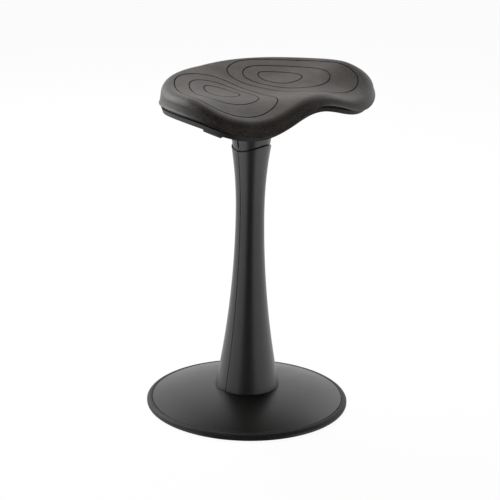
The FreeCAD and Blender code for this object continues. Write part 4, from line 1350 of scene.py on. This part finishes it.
@dataclass
class Studio:
    """Pale floor, soft lamps, graded surroundings and the photograph's camera."""

    azimuth: float = -47.5
    elevation: float = 18.735
    distance: float = 4000.0
    target: Place = (0.0, 0.0, 310.0)
    roll: float = 1.01
    focal_px: float = 2148.57
    picture_px: float = 500.0
    shift_px: Point = (0.56, -2.45)
    sensor: float = 36.0
    sight: float = 100000.0
    floor_size: float = 12000.0
    floor_colour: str = "#f4f4f4"
    floor_glow: float = 0.95
    horizon_level: float = 0.97
    room_level: float = 0.3
    # What the stool mirrors: each fade is over the direction from it, but the sweep's is over metres from it
    floor_gap: Fade = Fade(0.82, 0.985, 0.12)
    floor_sweep: Fade = Fade(1.5, 1.7, 0.12)
    floor_behind: Fade = Fade(-0.7, -0.2, 0.0)
    room_behind: Fade = Fade(-0.6, 0.2, 0.12)
    room_below: Fade = Fade(0.55, 0.95, 0.08)
    lamps: tuple[Softbox, ...] = (
        Softbox("top_softbox", (0.6, 1.5, 1.8), (1.4, 1.4), 60.0, mirrored=False),
        Softbox("left_softbox", (-0.45, 1.5, 1.05), (1.2, 1.2), 14.0),
        Softbox("right_softbox", (1.5, 0.1, 0.9), (0.8, 1.0), 1.5))

    def camera(self) -> None:
        """Camera at the photograph's angle, with its slight lean."""
        az, el = math.radians(self.azimuth), math.radians(self.elevation)
        away = Vector((math.sin(az) * math.cos(el), -math.cos(az) * math.cos(el), math.sin(el)))
        data = bpy.data.cameras.new("photo_camera")
        data.sensor_width = self.sensor
        data.lens = self.focal_px * self.sensor / self.picture_px
        data.shift_x, data.shift_y = [px / self.picture_px for px in self.shift_px]
        data.clip_end = self.sight * MM
        camera = bpy.data.objects.new("photo_camera", data)
        stand = Matrix.Translation((Vector(self.target) + away * self.distance) * MM)
        turn = (-away).to_track_quat("-Z", "Y").to_matrix().to_4x4()
        lean = Matrix.Rotation(math.radians(self.roll), 4, "Z")
        camera.matrix_world = stand @ turn @ lean
        bpy.context.scene.collection.objects.link(camera)
        bpy.context.scene.camera = camera

    def by_ray(self, tree: Tree, matte: Socket, seen: Socket, mirrored: Socket, share: float) -> Socket:
        """Choose what each kind of ray meets.

        Args:
            tree: node tree of the floor or of the world.
            matte: shader that lights matte surfaces.
            seen: shader that the camera sees.
            mirrored: shader that glossy and transmission rays show in the stool.
            share: how far the seen shader covers the matte one.

        Returns:
            Socket with the chosen shader.
        """
        path = add_node(tree, "ShaderNodeLightPath").outputs
        cover = add_node(tree, "ShaderNodeMath", {"Value_001": share}, {"Value": path["Is Camera Ray"]},
                         operation="MULTIPLY")
        shiny = add_node(tree, "ShaderNodeMath", {}, {"Value": path["Is Glossy Ray"],
                                                      "Value_001": path["Is Transmission Ray"]},
                         operation="MAXIMUM")
        plain = add_node(tree, "ShaderNodeMixShader", {},
                         {"Fac": cover.outputs["Value"], "Shader": matte, "Shader_001": seen})
        mixed = add_node(tree, "ShaderNodeMixShader", {},
                         {"Fac": shiny.outputs["Value"], "Shader": plain.outputs["Shader"],
                          "Shader_001": mirrored})
        return mixed.outputs["Shader"]

    def towards(self, tree: Tree, place: Socket) -> tuple[Socket, Socket]:
        """Direction of a place from the stool, and how far it points to the photographer's side.

        Args:
            tree: node tree that gets the nodes.
            place: socket with the place.

        Returns:
            Socket with the unit direction, and socket with 1 to the front, 0 to the sides and -1 behind.
        """
        az = math.radians(self.azimuth)
        unit = add_node(tree, "ShaderNodeVectorMath", {}, {"Vector": place}, operation="NORMALIZE")
        front = add_node(tree, "ShaderNodeVectorMath", {"Vector_001": (math.sin(az), -math.cos(az), 0.0)},
                         {"Vector": unit.outputs["Vector"]}, operation="DOT_PRODUCT")
        return unit.outputs["Vector"], front.outputs["Value"]

    def levels(self, tree: Tree, driven: Sequence[tuple[Fade, Socket]]) -> list[Socket]:
        """Level of each fade.

        Args:
            tree: node tree that gets the nodes.
            driven: each fade with the socket that drives it.

        Returns:
            Sockets with the levels, in the same order.
        """
        steps = [add_node(tree, "ShaderNodeMapRange", fade.ends(), {"Value": value},
                          interpolation_type="SMOOTHSTEP") for fade, value in driven]
        return [step.outputs["Result"] for step in steps]

    def floor_image(self, tree: Tree) -> Socket:
        """Level at which the floor shows in the stool: a white sweep with a dark gap in front, dark beyond.

        Args:
            tree: node tree of the floor.

        Returns:
            Socket with the level.
        """
        place = add_node(tree, "ShaderNodeTexCoord").outputs["Object"]
        _, front = self.towards(tree, place)
        reach = add_node(tree, "ShaderNodeVectorMath", {}, {"Vector": place}, operation="LENGTH")
        gap, sweep, behind = self.levels(tree, [
            (self.floor_gap, front), (self.floor_sweep, reach.outputs["Value"]), (self.floor_behind, front)])
        lit = add_node(tree, "ShaderNodeMath", {}, {"Value": sweep, "Value_001": behind}, operation="MAXIMUM")
        level = add_node(tree, "ShaderNodeMath", {}, {"Value": gap, "Value_001": lit.outputs["Value"]},
                         operation="MULTIPLY")
        return level.outputs["Value"]

    def room_image(self, tree: Tree) -> Socket:
        """Level at which the room shows in the stool: white behind it, dark in front of it and above.

        Args:
            tree: node tree of the world.

        Returns:
            Socket with the level.
        """
        unit, front = self.towards(tree, add_node(tree, "ShaderNodeTexCoord").outputs["Generated"])
        height = add_node(tree, "ShaderNodeSeparateXYZ", {}, {"Vector": unit}).outputs["Z"]
        behind, below = self.levels(tree, [(self.room_behind, front), (self.room_below, height)])
        level = add_node(tree, "ShaderNodeMath", {}, {"Value": behind, "Value_001": below},
                         operation="MULTIPLY")
        return level.outputs["Value"]

    def floor(self) -> None:
        """Wide pale floor that shows white and keeps the stool's shadow."""
        material, tree = blank_material("pale_floor")
        matte = add_node(tree, "ShaderNodeBsdfDiffuse", {"Color": linear(self.floor_colour)})
        white = add_node(tree, "ShaderNodeEmission", {"Color": WHITE, "Strength": 1.0})
        image = add_node(tree, "ShaderNodeEmission", {"Color": WHITE}, {"Strength": self.floor_image(tree)})
        surface = self.by_ray(tree, matte.outputs["BSDF"], white.outputs["Emission"],
                              image.outputs["Emission"], self.floor_glow)
        add_node(tree, "ShaderNodeOutputMaterial", {}, {"Surface": surface})
        bm = bmesh.new()
        bmesh.ops.create_grid(bm, x_segments=1, y_segments=1, size=self.floor_size / 2 * MM)
        floor = link_mesh(bm, "floor", material)

    def world(self) -> None:
        """Graded surroundings in the stool's reflections, and an even, quieter light on matte surfaces."""
        world = bpy.data.worlds.new("white_room")
        world.use_nodes = True
        tree = world.node_tree
        tree.nodes.clear()
        fill = add_node(tree, "ShaderNodeBackground", {"Color": WHITE, "Strength": self.room_level})
        white = add_node(tree, "ShaderNodeBackground", {"Color": WHITE, "Strength": self.horizon_level})
        image = add_node(tree, "ShaderNodeBackground", {"Color": WHITE}, {"Strength": self.room_image(tree)})
        surface = self.by_ray(tree, *(node.outputs["Background"] for node in (fill, white, image)), 1.0)
        add_node(tree, "ShaderNodeOutputWorld", {}, {"Surface": surface})
        bpy.context.scene.world = world

    def build(self) -> None:
        """Set up the camera, the floor, the surroundings and the lamps."""
        self.camera()
        self.floor()
        self.world()
        for lamp in self.lamps:
            lamp.hang(Vector(self.target) * MM)
        bpy.context.scene.view_settings.view_transform = "Standard"


def main() -> None:
    """Build the stool piece by piece, then the studio."""
    logging.basicConfig(level=logging.INFO, format="%(message)s")
    finishes = Finishes()
    for part in frame["record"]["subparts"]:
        finishes.dress_node(part["node"], part["material_slot"])
    foot = Foot(finishes)
    foot.rim_ring()
    foot.cover()
    line = ColumnLine()
    for half in Half:
        Column(finishes, line).shell(half)
        Collar(finishes, line).shell(half)
    GasSpring(finishes).cylinder()
    LeverGrip(finishes).grip()
    SeatPan(finishes).pan()
    SeatPad(finishes, SaddleForm()).pad()
    Studio().build()


if __name__ == "__main__":
    main()
